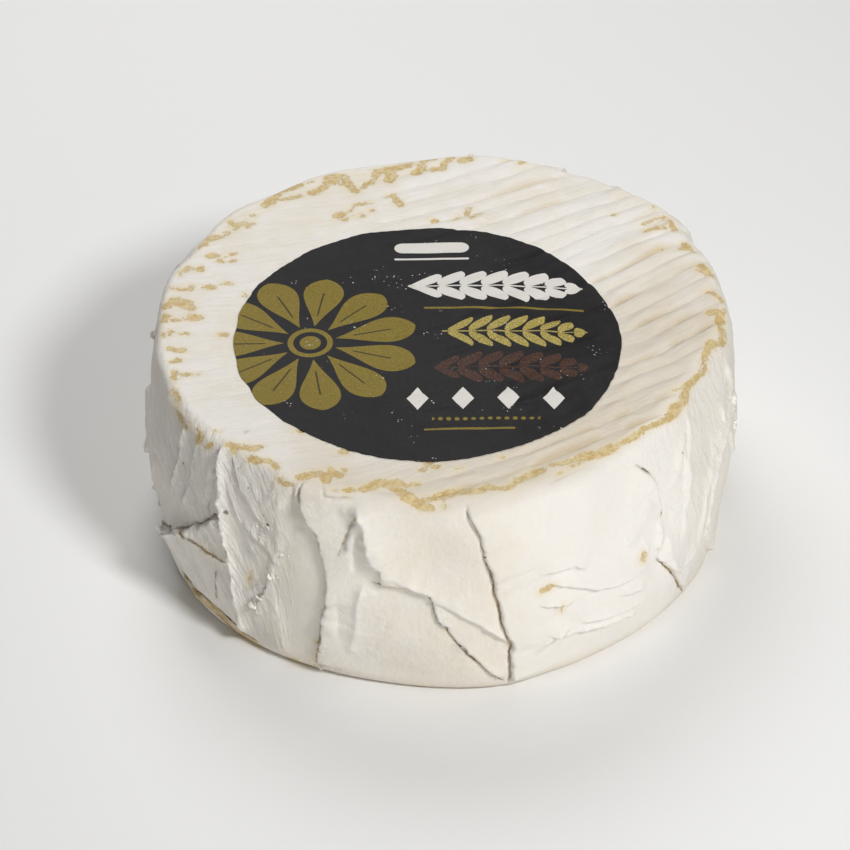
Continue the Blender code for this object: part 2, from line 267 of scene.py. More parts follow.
def mat_relief(x, y):
    """Round ridges with sharp furrows between them, fading under the label. Also how deep in a furrow."""
    across = across_mat(x, y)
    places = np.array([furrow[0] for furrow in MAT_FURROWS], float)
    strengths = np.array([furrow[1] for furrow in MAT_FURROWS], float)
    before = np.clip(np.searchsorted(places, across) - 1, 0, len(places) - 2)
    gap = places[before + 1] - places[before]
    share = np.clip((across - places[before]) / gap, 0, 1)
    furrow = strengths[before] * np.exp(-share * gap / FURROW_WIDTH)
    furrow += strengths[before + 1] * np.exp(-(1 - share) * gap / FURROW_WIDTH)
    to_right = smooth((x - MAT_DEEPENS_FROM) / MAT_DEEPENS_OVER)
    depth = MAT_DEPTH_LEFT + (MAT_DEPTH_RIGHT - MAT_DEPTH_LEFT) * to_right
    depth *= np.clip(1 + swell(flat_points(x, y), MAT_UNEVEN), 0.2, 1.8)
    past_label = from_label_centre(x, y) - LABEL_RADIUS
    depth *= MAT_UNDER_LABEL + (1 - MAT_UNDER_LABEL) * smooth((past_label + 0.5) / 5)
    relief = depth * (RIDGE_CROWN * np.sin(math.pi * share) - furrow + RIDGE_LIFT)
    return relief, depth / MAT_DEPTH_RIGHT * furrow


# The folds: the soft rind slipped over the paste as the wheel ripened, and lies in lifted lips, ridges
# and cracks round the side. Each has its lift, the width of its drop, how far its lift reaches, how far
# its lip curls over, and its path of (turn, level), with the lip on the left hand of who walks the path.

FOLDS = {
    "deep front fold": (
        1.9, 0.6, 8.0, 0.6,
        ((-27.5, 60), (-27.4, 56.9), (-26.6, 54.2), (-24.8, 50.2), (-23.2, 47), (-22.8, 42.8), (-22.1, 39.8),
         (-21.5, 36.4), (-21.4, 31.8), (-21.2, 25.8), (-22.2, 21.4), (-22.8, 16.2), (-23.5, 9.8), (-24.5, 3)),
    ),
    "shoulder of the deep fold": (
        0.8, 1.2, 3.0, 0.2, ((-29.4, 58.5), (-29, 55), (-27.6, 51.5), (-25.4, 48.5)),
    ),
    "short rim crack": (0.5, 0.4, 4.0, 0.2, ((-15, 55.5), (-17, 50.6), (-18, 45.6), (-18.9, 41.5))),
    "crack at the rim": (0.4, 0.4, 2.5, 0.1, ((-16.6, 58.2), (-20.2, 57.1), (-22.5, 56.9), (-23.8, 59.9))),
    "slanting fold above its hollow": (
        3.0, 6.0, 5.0, 0.0,
        ((-16.5, 58.2), (-14, 52), (-13, 45.8), (-11.8, 41.2), (-10.5, 39.2), (-8.2, 37.6), (-5.2, 35.4)),
    ),
    "left edge of the hollow": (
        0.35, 1.0, 3.0, 0.1, ((-15.6, 36.6), (-16.2, 39.4), (-16, 46.2), (-15.2, 51.8)),
    ),
    "long slanting fold": (
        1.4, 1.6, 3.0, 0.0,
        ((-9, 38), (-4, 34), (0, 30.4), (3.8, 26.4), (8, 21.8), (11, 18.4), (12.6, 15)),
    ),
    "crack under the slanting fold": (
        1.2, 0.5, 3.0, 0.4,
        ((-13.2, 36), (-11.8, 35.4), (-10, 35.2), (-8.5, 34.8), (-5, 34.2), (-2.6, 32.6), (-1.9, 30),
         (-1.2, 24.4), (0.5, 22.4), (2.2, 18.4), (4.5, 13.6), (8, 9), (11.5, 3.2)),
    ),
    "upright front fold": (
        1.5, 0.5, 9.0, 0.45,
        ((4, 59.5), (4.8, 55.7), (6.8, 48), (7.8, 43.2), (9.2, 35), (10, 28.6), (11, 22.4), (11.8, 18.2),
         (12.5, 15.4), (12.6, 9.4), (12.2, 3.6), (12, 0.5)),
    ),
    "soft ridge beside the crack": (
        0.9, 2.4, 2.4, 0.0, ((-14, 35.2), (-15, 31.6), (-15.8, 25.4), (-16.2, 18.8), (-17.5, 9.8)),
    ),
    "dimple left of the soft ridge": (-0.5, 2.0, 2.5, 0.0, ((-19.5, 30), (-19.2, 22), (-19.8, 14))),
    "right curled panel": (
        1.4, 0.6, 10.0, 0.6,
        ((45.8, 34.6), (47, 39.4), (47, 44.2), (45.5, 47.8), (44.2, 50.2), (41.5, 52)),
    ),
    "crease into the curled panel": (
        1.2, 1.6, 2.5, 0.0, ((60, 50), (56.2, 46.2), (54, 42.8), (50.8, 41.2), (47.8, 38.8)),
    ),
    "slanting panel ridge": (1.3, 1.8, 2.4, 0.0, ((45, 42), (40, 37.5), (36, 33.5))),
    "pinched knuckle": (1.3, 1.1, 1.3, 0.0, ((40.8, 34.5), (41, 30), (40.2, 26), (38.6, 23.6))),
    "second pinched knuckle": (1.2, 1.1, 1.4, 0.0, ((46, 36), (45.4, 32), (44, 29.5), (44.6, 26.5))),
    "right low crack": (
        0.9, 0.5, 5.0, 0.35,
        ((43.8, 26.4), (47.8, 19.8), (50.5, 14), (53.2, 8.6), (57.5, 2.2)),
    ),
    "right upright panel": (0.7, 1.0, 6.0, 0.0, ((63, 53), (60, 46.6), (55.8, 38.6), (53.2, 32), (51, 25))),
    "second upright panel": (
        0.9, 2.0, 3.4, 0.0, ((77, 46), (75.8, 40), (69.5, 36.2), (62, 30), (58, 19.2)),
    ),
    "right far fold": (0.9, 1.0, 6.0, 0.2, ((60, 19), (64.7, 10), (71.8, 1))),
    "rolled right edge": (
        1.1, 2.0, 3.2, 0.0,
        ((83, 52), (84.2, 43.6), (79, 39.6), (71, 35), (66.2, 31), (63.8, 24.8), (61.5, 18.4)),
    ),
    "right edge lump": (0.8, 1.6, 4.0, 0.0, ((76, 38), (80, 27), (85, 23), (90, 26), (94, 34))),
    "right knob": (0.8, 1.4, 2.0, 0.0, ((58, 47), (57.2, 40), (55, 35.2), (51.2, 34), (47.8, 33))),
    "right low bowl": (
        0.9, 1.3, 2.5, 0.0, ((47.6, 32), (47, 26), (48.5, 19), (51.5, 15.6), (58, 17), (61, 22)),
    ),
    "right first wrinkle": (1.1, 1.3, 2.2, 0.0, ((17, 35.8), (20.8, 36.2), (24.5, 35.8), (27.8, 32.2))),
    "right second wrinkle": (
        1.4, 1.2, 2.4, 0.0, ((19, 32.6), (22.2, 31), (26.5, 28), (29.8, 25.4), (34, 24.2), (39, 23.8)),
    ),
    "right third wrinkle": (1.0, 1.1, 2.4, 0.0, ((16.8, 26.6), (20.2, 25.6), (25, 23.6))),
    "right fourth wrinkle": (1.3, 1.2, 2.6, 0.0, ((25.5, 17), (31.5, 15.8), (38.5, 13.6), (43.5, 13.2))),
    "right fifth wrinkle": (1.4, 1.2, 2.4, 0.0, ((18.5, 17.4), (22.5, 14.6), (31.5, 13), (41, 9.6))),
    "right sixth wrinkle": (1.2, 1.4, 2.6, 0.0, ((17.2, 10.4), (20, 14.6), (24.8, 17))),
    "right seventh wrinkle": (1.0, 1.1, 2.2, 0.0, ((34, 20.5), (38, 19.2), (42.5, 17.5))),
    "left upright ridge": (
        1.8, 1.3, 1.0, 0.0,
        ((-46, 60), (-46, 57.1), (-45.2, 49.6), (-44.8, 41.2), (-43.8, 35), (-42.5, 29), (-42, 23.2),
         (-41.8, 17.2), (-41.2, 11.2), (-40.8, 3)),
    ),
    "groove left of the upright ridge": (
        -0.9, 1.6, 1.6, 0.0, ((-46.8, 54), (-47.5, 51.2), (-48, 46), (-49, 39), (-49.2, 35.4)),
    ),
    "left low flap": (
        1.9, 0.6, 8.0, 0.6,
        ((-44.8, 39), (-49.2, 33.4), (-56.2, 25.4), (-64, 17), (-71, 12.4)),
    ),
    "ridge on the low flap": (
        1.9, 1.4, 1.8, 0.0,
        ((-62, 18), (-58.5, 23), (-56.2, 25.4), (-51.8, 26.2), (-48.5, 25.6), (-45.8, 25.2), (-42.4, 24.8)),
    ),
    "left low crack": (0.5, 0.4, 2.5, 0.1, ((-46.2, 21.2), (-46.5, 15.8), (-46.8, 10.6))),
    "low left base fold": (
        0.7, 0.6, 3.0, 0.2, ((-41.8, 2.8), (-45, 4.8), (-48.2, 6.6), (-51.8, 7.8), (-57.2, 7), (-62, 5)),
    ),
    "left far ridge": (
        1.0, 1.1, 1.2, 0.0, ((-57.4, 56), (-57.8, 52.2), (-58.2, 46.8), (-59.5, 39.4), (-60.5, 33)),
    ),
    "left second far ridge": (0.7, 2.0, 2.4, 0.0, ((-66, 57), (-67.5, 46), (-70, 33), (-74, 22))),
    "left third far ridge": (0.6, 1.6, 2.0, 0.0, ((-52.5, 57), (-53.5, 48), (-55, 38), (-57, 31))),
    "fan line by the ridge": (0.5, 0.9, 1.6, 0.0, ((-43.5, 56.5), (-40.5, 50), (-37, 45), (-34.8, 41))),
    "second fan line": (0.4, 0.9, 1.6, 0.0, ((-44.5, 52), (-42, 44), (-38.5, 36), (-36.5, 30))),
    "torn line": (
        0.7, 0.4, 1.6, 0.3,
        ((-40.5, 41), (-39, 39), (-36.5, 37.2), (-33.8, 35.6), (-32.2, 32.4), (-30.5, 31.5)),
    ),
    "lower torn line": (0.6, 0.5, 2.0, 0.2, ((-34.5, 32), (-34, 28), (-35, 23), (-37, 18), (-38, 12))),
    "edge of the smooth panel": (
        0.5, 2.6, 7.0, 0.0, ((-31.5, 3), (-32, 14), (-33.5, 26), (-31, 42), (-31.5, 54)),
    ),
    "left edge lobe": (2.0, 1.0, 5.0, 0.5, ((-98, 32), (-94, 24), (-88, 19.5), (-83, 22), (-80, 30))),
}

# The folds of the hidden back, guessed: the front's own, turned round the wheel, mirrored or upside down
BACK_TURNS = (
    {"turn": 128, "mirror": -1, "flip": False, "lift": 0.85},
    {"turn": -122, "mirror": 0.92, "flip": True, "lift": 0.9},
)

# A copy is kept only where all of it is farther round than this turn
FRONT_ENDS = 99

# The length over which a fold fades at its ends, its groove's depth against its lift, that groove's width,
# and how far the sideways slide of its lip reaches
FOLD_END = 4.0
FOLD_GROOVE = 0.3
GROOVE_WIDTH = 0.7
LIP_REACH = 1.5

# How far a fold's line and lift stray along it: half range and pitch
FOLD_STRAY = ((0.40, 4.0), (0.28, 1.4), (0.12, 0.6))
LIFT_STRAY = ((0.35, 5.5), (0.25, 1.9))
SOFT_STRAY = 0.4

# How wide the painted shade in a fold's foot (partly the rind's own brown) and the white line on its crest
# (partly painted highlight) are, and the curl from which a foot is shaded
CREASE_WIDTH = 0.45
CREST_WIDTH = 0.8
SHADED_FEET_FROM = 0.25


def all_folds():
    """The front's folds and their guessed copies on the back, each with the turn of its copy."""
    folds = list(FOLDS.values())
    for back in BACK_TURNS:
        for lift, drop, reach, curl, path in FOLDS.values():
            turned_path = []
            for turn, level in path:
                height = WHEEL_HEIGHT - level if back["flip"] else level
                turned_path.append((back["turn"] + back["mirror"] * turn, height))
            if min(abs((turn + 180) % 360 - 180) for turn, _ in turned_path) > FRONT_ENDS:
                folds.append((lift * back["lift"], drop, reach, curl, tuple(turned_path)))
    return folds


def near_path(turn, level, path, margin):
    """For the points near a path: which they are, their signed distance, how far along it they are, its
    length, and the direction of its left hand. The wall is unrolled for this."""
    turns = np.array([point[0] for point in path], float)
    levels = np.array([point[1] for point in path], float)
    middle = (turns.min() + turns.max()) / 2
    along_all = along_wall(turn, middle)
    path_along = np.radians(turns - middle) * WHEEL_RADIUS
    close = np.abs(along_all) < np.abs(path_along).max() + margin
    close &= (level > levels.min() - margin) & (level < levels.max() + margin)
    which = np.nonzero(close)[0]
    along = along_all[which]
    up = level[which]
    nearest = np.full(len(which), FAR_AWAY)
    signed = np.zeros(len(which))
    walked = np.zeros(len(which))
    left = np.zeros((len(which), 2))
    length = 0.0
    for index in range(len(path) - 1):
        step_x = path_along[index + 1] - path_along[index]
        step_y = levels[index + 1] - levels[index]
        step = math.hypot(step_x, step_y)
        off_x = along - path_along[index]
        off_y = up - levels[index]
        share = np.clip((off_x * step_x + off_y * step_y) / step**2, 0, 1)
        distance = np.hypot(off_x - share * step_x, off_y - share * step_y)
        side = np.where(step_x * off_y - step_y * off_x >= 0, 1.0, -1.0)
        closer = distance < nearest
        nearest[closer] = distance[closer]
        signed[closer] = (distance * side)[closer]
        walked[closer] = length + (share * step)[closer]
        left[closer] = (-step_y / step, step_x / step)
        length += step
    return which, signed, walked, length, left


def strayed(walked, length, strays, random):
    """A seeded unevenness along a path: broken lines through random values at each pitch."""
    total = np.zeros(len(walked))
    for size, pitch in strays:
        stops = np.arange(-pitch, length + 2 * pitch, pitch)
        total += size * np.interp(walked, stops, random.uniform(-1, 1, len(stops)))
    return total


def fold_relief(turn, level):
    """How far all folds lift each point, how far their lips slide it round and up the wall, and how near
    it is to a fold's foot, where the finish paints shade, and to a fold's crest, where it paints a white
    line that is partly highlight, from 0 to 1."""
    lifts = np.zeros(len(turn))
    slides = np.zeros((len(turn), 2))
    feet = np.zeros(len(turn))
    crests = np.zeros(len(turn))
    random = np.random.default_rng(41)
    for lift, drop, reach, curl, path in all_folds():
        which, signed, walked, length, left = near_path(turn, level, path, 4 * reach + drop)
        signed = signed + strayed(walked, length, FOLD_STRAY, random) * (1.0 if curl > 0 else SOFT_STRAY)
        if curl > 0:
            # A curled lip starts at the path, where its groove is seen; a ridge has its crest on the path
            signed = signed - drop
        strength = 1 + strayed(walked, length, LIFT_STRAY, random)
        fade = smooth(walked / FOLD_END) * smooth((length - walked) / FOLD_END)
        lip = np.clip(signed / drop + 1, 0, 1) ** 2 * np.exp(-np.maximum(signed, 0) / reach)
        groove = np.exp(-(((signed + drop) / GROOVE_WIDTH) ** 2)) * (curl > 0)
        lifts[which] += lift * strength * fade * (lip - FOLD_GROOVE * groove)
        sliding = curl * fade * smooth(signed / drop + 1.2) * np.exp(-np.maximum(signed, 0) / LIP_REACH)
        slides[which] -= left * sliding[:, None]
        # Near the bottom of a curled lip's drop, where the finish paints shade, partly the rind's own brown
        foot = np.exp(-(((signed + drop + 0.2) / CREASE_WIDTH) ** 2)) * (curl > SHADED_FEET_FROM)
        feet[which] = np.maximum(feet[which], foot * fade * strength * min(1.0, lift))
        # Near a ridge's top, where the finish paints a white line: partly dry white mould, partly painted
        # highlight
        crest = np.exp(-((signed / CREST_WIDTH) ** 2)) * (lift > 0)
        crests[which] = np.maximum(crests[which], crest * fade * strength * min(1.0, lift))
    return lifts, slides, feet, crests


# The ochre: along the rim and on the ridges the white mould wore or never took, and the rind shows its
# yellow-brown. Each stroke has its half width, and then its path of x and y from the wheel's axis.
# Where the rim rounds over at the front, y runs on down the wall, as the eye looks down at it.

OCHRE_STROKES = (
    (0.6, (-49.2, 44), (-47.8, 44)), (0.5, (-54.8, 41.5), (-53.7, 40), (-53.2, 38.3)),
    (0.4, (-53.5, 40.3), (-50, 40.2), (-48.8, 40.4)), (0.5, (-49.9, 40), (-49.9, 39)),
    (1.2, (-56, 36.5), (-58, 35.3), (-59.5, 34.3)), (0.5, (-60.5, 33), (-60.8, 31.5)),
    (0.6, (-61.5, 31.5), (-62.3, 30.5)), (0.8, (-59.3, 26), (-58.7, 26.8), (-57.6, 26.6)),
    (0.6, (-56.5, 24), (-56, 24.1)), (0.5, (-54.1, 24.2), (-53.2, 24.5)),
    (0.3, (-55.5, 26), (-54.5, 27), (-52.8, 27.4)), (0.6, (-61.4, 21.2), (-61.4, 19.8)),
    (0.6, (-64.5, 21), (-65.3, 19.3)), (0.4, (-66.3, 18.8), (-66.4, 17.6)),
    (0.5, (-54.2, 14), (-53.4, 13.8)), (0.8, (-63.4, 12.6), (-63.4, 11.4)),
    (0.5, (-64.5, 11.3), (-66.5, 11.2), (-68.2, 12)), (0.5, (-60.3, 12), (-59.5, 11.8)),
    (0.55, (-58.9, 12.5), (-58, 12)), (0.6, (-50, 9.5), (-49.8, 8.6)), (0.9, (-68.2, 6.5), (-69.5, 5)),
    (0.8, (-66.8, 7), (-65.5, 6), (-64, 5.2), (-63, 4.6)), (1.0, (-69.2, 1), (-69.5, -0.7)),
    (0.6, (-67.3, -0.5), (-66.4, -0.6)), (0.95, (-62.6, 0.4), (-61, 0.4)),
    (0.4, (-67.8, -5.3), (-67.9, -6.6)), (0.4, (-69.5, -6), (-69.2, -7.2)),
    (0.35, (-65.4, -6), (-64.8, -6.2)), (0.4, (-63.7, -6), (-63.1, -6.7)),
    (0.6, (-55.8, -6.7), (-54, -6.6)), (0.45, (-67.5, -12.5), (-65.6, -13.2), (-64, -13)),
    (0.6, (-66.8, -17.5), (-65, -17)), (0.6, (-66.2, -22), (-66, -24.5)), (0.35, (-64, -23), (-60, -22.6)),
    (0.5, (-65.6, -29), (-64.6, -33), (-64.6, -37), (-63, -42)), (0.4, (-61, -42), (-62, -44)),
    (0.5, (-59, -44.5), (-58.3, -47), (-58.5, -49.5)), (0.6, (-56, -50.5), (-56.5, -51.5)),
    (0.4, (-55.2, -45.3), (-54, -45.3)), (0.9, (-51.5, -50.5), (-49.5, -51.3)),
    (0.65, (-49.5, -51.3), (-46, -52), (-44, -51.2)), (0.5, (-50.4, -52), (-50, -53.8)),
    (1.1, (-46, -56), (-44.6, -56.8)), (0.8, (-44.6, -56.8), (-42, -56.5), (-40.5, -57.8), (-40, -59.3)),
    (0.8, (-38.8, -63.5), (-37.8, -65.2), (-37, -65.8)), (0.6, (-35, -62.5), (-34, -63)),
    (1.2, (-33, -62), (-30, -61.5), (-28.5, -62.5), (-28, -64)),
    (1.1, (-28.2, -62.8), (-26.4, -61.2), (-25, -62)), (0.5, (-26.8, -59.6), (-26.5, -61.5)),
    (0.4, (-24, -59.5), (-23.5, -60.5)), (0.8, (-24.3, -53), (-23.8, -53)),
    (0.4, (-34.5, -45.3), (-33.9, -45.3)), (0.45, (-26.3, -67.7), (-25.8, -67.7)),
    (0.5, (-23.3, -67.8), (-22, -67.7)),
    (1.1, (-18.8, -67), (-17, -66), (-15, -65), (-13, -65.5), (-11, -67.5), (-9, -70)),
    (1.5, (-9, -70), (-7, -72), (-5, -73.5), (-3.5, -74.5)), (0.8, (-12, -64.5), (-9, -66), (-6.5, -65.5)),
    (1.2, (-6, -72.5), (-3, -71), (-1, -69.5), (1, -69.3)), (0.8, (-1, -70), (-0.5, -74.5)),
    (0.75, (1, -68.5), (4, -68.5), (8, -68), (10, -66.5), (12, -66.8), (14, -67), (15.5, -66.5), (17, -63.5)),
    (1.1, (17, -64), (20, -62), (22.5, -60.3)), (0.6, (25, -58), (28, -57.7), (30, -56.5), (33, -55.5)),
    (1.3, (33, -55.3), (36, -54.5), (39, -53), (40.5, -51.5)),
    (0.85, (40.5, -51), (43, -49.5), (45, -48), (47, -46), (48, -44), (51, -42.5), (54, -41), (56, -38.5)),
    (0.9, (56, -38.5), (57.5, -36), (58.5, -33.5), (58.5, -30), (60, -27), (61.5, -24.5)),
    (0.7, (55, -36.5), (57.5, -34.5)),
    (0.8, (61, -25.1), (62.5, -23.5), (64.1, -21.5), (64.1, -16.2), (65, -13.5), (66.5, -10.1)),
    (0.5, (66.5, -10.1), (69.4, -10.5), (69.2, -7), (68.8, -3.9)),
    (0.9, (66.5, 2.8), (69.5, 2.9), (69, -0.5), (68.7, -1.8)),
    (0.5, (56.1, -29.1), (58, -27.8), (60.2, -26)), (0.6, (54.4, -39), (56.5, -37), (57.8, -34.7)),
    (0.5, (66.5, 12.1), (68.3, 10.2), (69.9, 9.1)), (0.5, (64.9, 22.5), (66.5, 20.5), (68.1, 17.7)),
    (0.3, (64.2, 20.6), (67, 18.8)), (0.6, (61.4, 33), (63, 30), (64.2, 28.1)),
    (0.4, (60.8, 29.8), (63.6, 29.5)), (0.4, (54.3, 29), (56.1, 30.3)), (0.5, (58.5, 42.3), (59.6, 38.3)),
    (0.5, (51.9, 37.9), (54, 38.8), (56.8, 39.2)), (0.35, (51.5, 41), (55, 43), (59.1, 44.6)),
    (0.4, (27, -61.5), (28, -60.5)), (0.4, (30, -58.5), (31.5, -58)),
    (0.6, (-5.4, -60.2), (-4, -58), (-3, -56.8)), (0.6, (-2.1, -58.9), (-1.9, -58.6)),
    (0.35, (3, -59.7), (3.9, -59.5)), (0.35, (13.3, -55.3), (13.8, -55.2)),
    (0.8, (-46, 48), (-44.5, 51), (-42, 54.5), (-39, 56), (-37, 57.5)), (1.2, (-45, 49.5), (-43, 53)),
    (0.5, (-41, 50.5), (-39, 51), (-37, 52)), (0.5, (-35, 58.5), (-33.5, 59.5)),
    (0.95, (-34, 53.5), (-32, 55.5), (-30.5, 57.5), (-30, 60), (-29, 61.5)),
    (0.8, (-28.5, 62), (-28.3, 59)), (1.0, (-27.5, 62.5), (-25.5, 62.5), (-25, 60), (-24, 58), (-23.2, 56)),
    (0.7, (-22, 63.5), (-20.8, 61.5), (-20, 59.5), (-20.8, 57.8)),
    (1.0, (-19, 60), (-18, 63), (-17, 65.5), (-15, 66.5), (-12, 67), (-9.5, 68)),
    (1.1, (-14.5, 66), (-13.5, 63.5), (-14, 61.5)), (1.0, (-7, 64.5), (-5.8, 66.5), (-5, 69)),
    (0.5, (-4, 70), (-2, 70.3)), (1.1, (-2, 66), (0, 66), (0.5, 68.5), (2, 70.5)),
    (1.2, (5, 69.3), (7, 69.8)), (0.4, (16.5, 68.9), (17.5, 69.2)), (0.5, (20.3, 67.3), (21.3, 68.6)),
    (0.6, (-14.5, 53.5), (-13, 54.5), (-12.3, 52.5), (-11, 50)),
    (0.35, (-24, 46.5), (-23, 49), (-20.5, 50), (-18.5, 50.5)), (0.75, (-27.6, 44), (-26.2, 44.3)),
    (0.55, (-25.7, 42.6), (-25.3, 42.4)), (0.6, (-21.2, 45), (-20.8, 44.4)),
    (0.4, (-18.5, 46.8), (-18.1, 47.2)), (0.55, (6.2, 45.8), (6.8, 48)), (0.5, (9.4, 44.9), (9.7, 45.2)),
    (0.45, (7.2, 43), (7.8, 43.4)), (0.45, (2.8, 42.8), (4, 44.2)), (0.45, (-2.4, 42.7), (-1.7, 42.9)),
    (0.4, (55, 47.7), (54.6, 48.2)), (0.4, (44, 44.8), (44.5, 45.2)),
)

# Stains on the side are in turn and level, with their half width
OCHRE_ON_SIDE = (
    (0.75, ((17.8, 30.4), (20, 31.5))),
    (0.35, ((22, 25), (22, 22.4))),
    (0.4, ((40.2, 29.6), (40, 27.8))),
    (0.4, ((-38.2, 25.8), (-38.8, 20.8))),
    (1.3, ((-60, 4.6), (-57.2, 5.5), (-51.8, 5.8), (-48.2, 4.6), (-45, 2.8), (-42, 1.6), (-38, 1.4))),
    (0.8, ((-31, 1.5), (-26, 1.0))),
    (0.5, ((-24.6, 7), (-25.3, 2))),
    (0.35, ((-24.2, 11), (-24.0, 8))),
)


def fold_path(name, first=0, end=None):
    return FOLDS[name][-1][first:end]


# Cracks are dark lines with ochre beside them: partly the rind's own brown and dirt in them, partly painted
# shadow in the gaps of the folds whose paths they follow. They are in turn and level, each with how dark it
# is
CRACKS = (
    (0.6, fold_path("short rim crack")),
    (0.3, fold_path("crack at the rim")),
    (0.9, fold_path("crack under the slanting fold", 0, 7)),
    (0.9, fold_path("crack under the slanting fold", 7)),
    (0.6, fold_path("upright front fold", 2, 10)),
    (0.8, fold_path("right low crack")),
    (1.3, ((46.6, 35.4), (47.2, 39), (47, 44.2), (45.5, 47.8), (44.2, 50.2))),
    (0.8, ((-55.8, 26.6), (-51.7, 27.3), (-48.5, 26.7), (-45.8, 26.3), (-43, 25.9))),
    (0.7, fold_path("left low crack")),
    (1.0, ((-37.8, 2.6), (-41.8, 2.8), (-45, 4.8), (-48.2, 6.6), (-51.8, 7.8), (-57.2, 7), (-62, 5))),
    (0.8, ((-55, 4.4), (-50, 4.8), (-46, 3.0), (-43, 1.8))),
    (0.5, fold_path("deep front fold", 1, 7)),
    (0.6, fold_path("deep front fold", 10)),
    (0.25, ((-8.7, 50), (-7.3, 50.2))),
    (0.4, fold_path("fan line by the ridge")),
)

# Single dark specks in the mould: turn, level and radius
SPECKS = ((-46, 50, 0.3), (-57.2, 44.2, 0.35), (-43.5, 40.8, 0.6), (-40, 52.8, 0.35), (-34.8, 45.4, 0.3))
SPECKS += ((-34, 43.2, 0.4), (-39.2, 32.6, 0.3), (-29, 35.2, 0.35), (-29.2, 27.2, 0.3), (-41.2, 19.2, 0.3))
SPECKS += ((-38.8, 50.8, 0.3), (-47, 37.2, 0.4), (2, 34, 0.3), (56.5, 46.4, 0.3), (-37.8, 3.6, 0.4))
SPECKS += ((-11.5, 36, 0.5), (7.6, 44.5, 0.3), (100, 30, 0.4), (141, 22, 0.5), (-140, 41, 0.4))
SPECKS += ((-165, 18, 0.35),)

CRACK_NEAR = 1.5
CRACK_END = 1.5
CRACK_BELOW_LIP = 0.4
OCHRE_REACH = 2.5
OCHRE_SUNK = 0.12
OCHRE_SPREAD = 0.22
OCHRE_OVER_RIM = 7
FRONT_TURNS = 95
CAMERA_SLOPE = 0.783


def stroke_distance(x, y, path):
    """How far each point is from a path."""
    best = np.full(len(x), FAR_AWAY)
    for (ax, ay), (bx, by) in zip(path, path[1:]):
        length = (bx - ax) ** 2 + (by - ay) ** 2
        share = np.clip(((x - ax) * (bx - ax) + (y - ay) * (by - ay)) / length, 0, 1)
        best = np.minimum(best, np.hypot(x - ax - share * (bx - ax), y - ay - share * (by - ay)))
    return best


def ochre_field(x, y, z, turn, level):
    """How far inside an ochre stroke each point is, in millimetres, and below 0 outside them."""
    field = np.full(len(x), -OCHRE_REACH)
    on_top = np.nonzero(level > WHEEL_HEIGHT - OCHRE_OVER_RIM)[0]
    seen_y = y - np.where(np.abs(turn) < FRONT_TURNS, (WHEEL_HEIGHT - z) / CAMERA_SLOPE, 0.0)
    for half_width, *path in OCHRE_STROKES:
        corners = np.array(path)
        low = corners.min(axis=0) - OCHRE_REACH - half_width
        high = corners.max(axis=0) + OCHRE_REACH + half_width
        close = (x[on_top] > low[0]) & (x[on_top] < high[0])
        close &= (seen_y[on_top] > low[1]) & (seen_y[on_top] < high[1])
        which = on_top[close]
        inside = half_width + OCHRE_SPREAD - stroke_distance(x[which], seen_y[which], corners)
        field[which] = np.maximum(field[which], inside)
    for half_width, path in OCHRE_ON_SIDE:
        which, signed, _, _, _ = near_path(turn, level, path, OCHRE_REACH + half_width)
        field[which] = np.maximum(field[which], half_width - np.abs(signed))
    return field


def crack_fields(turn, level):
    """The signed distance to the nearest crack, and how dark it is, which is 0 away from every crack."""
    nearest = np.full(len(turn), 2 * CRACK_NEAR)
    dark = np.zeros(len(turn))
    for darkness, path in CRACKS:
        which, signed, walked, length, _ = near_path(turn, level, path, 2 * CRACK_NEAR)
        closer = np.abs(signed) < np.abs(nearest[which])
        nearest[which[closer]] = signed[closer]
        ends = smooth(walked / CRACK_END) * smooth((length - walked) / CRACK_END)
        dark[which[closer]] = (darkness * ends)[closer]
    return nearest, dark * smooth(1.2 - np.abs(nearest) / CRACK_NEAR)


def speck_field(turn, level):
    """1 in the middle of each dark speck, falling to 0 at its edge."""
    field = np.zeros(len(turn))
    for speck_turn, speck_level, radius in SPECKS:
        distance = np.hypot(along_wall(turn, speck_turn), level - speck_level)
        field = np.maximum(field, 1 - distance / (2 * radius))
    return field


# The crumbs' places: turn, level and size of the spots where the dry mould came off in crumbs
CRUMBLY = ((-37.4, 16, 3), (-33, 29, 2.5), (-30.7, 37, 2), (-23.5, 4, 2.4), (-20, 2.5, 2), (-22.6, 11, 2))
CRUMBLY += ((-67, 14, 3), (-73, 17, 2.5), (-90, 53, 3), (84, 36, 3), (87, 29, 3), (82, 44, 3), (10, 5, 1.5))
CRUMBLY += ((-36, 22, 3), (-35, 42, 3), (3, 16, 2), (0, 23, 1.5), (150, 20, 5), (-150, 30, 5), (120, 45, 4))

# Where shards of dry rind stand up: turn, level and size of the spot
TORN = ((-37.6, 16, 1.1), (-36.2, 18.8, 0.6), (-33, 28.4, 1.0), (-30.3, 37.2, 0.9), (-68.5, 13, 1.0))
TORN += ((-74, 15, 0.9), (-76, 19, 0.8), (-90, 53, 1.3), (85, 38, 2), (86, 29, 1.6), (-24, 3, 0.7))
TORN += ((150, 20, 2), (-150, 30, 2), (120, 45, 2), (-64, 17, 1.0), (61, 19, 1.0))

# How crumpled the wall is, by turn, where 1 is fully
CRUMPLED = ((-180, 0.7), (-120, 0.9), (-60, 1.15), (-36, 1.0), (-25, 0.4), (0, 0.45), (30, 0.45))
CRUMPLED += ((70, 0.7), (100, 0.8))

# How creamy the wall is, from 0 to 1, by turn
CREAMY = ((-180, 0.5), (-100, 0.4), (-60, 0.3), (-40, 0.4), (-31, 0.9), (-24, 0.7), (-18, 0.5), (-8, 0.9))
CREAMY += ((10, 0.8), (18, 0.25), (50, 0.15), (66, 0.6), (84, 0.7), (110, 0.5))

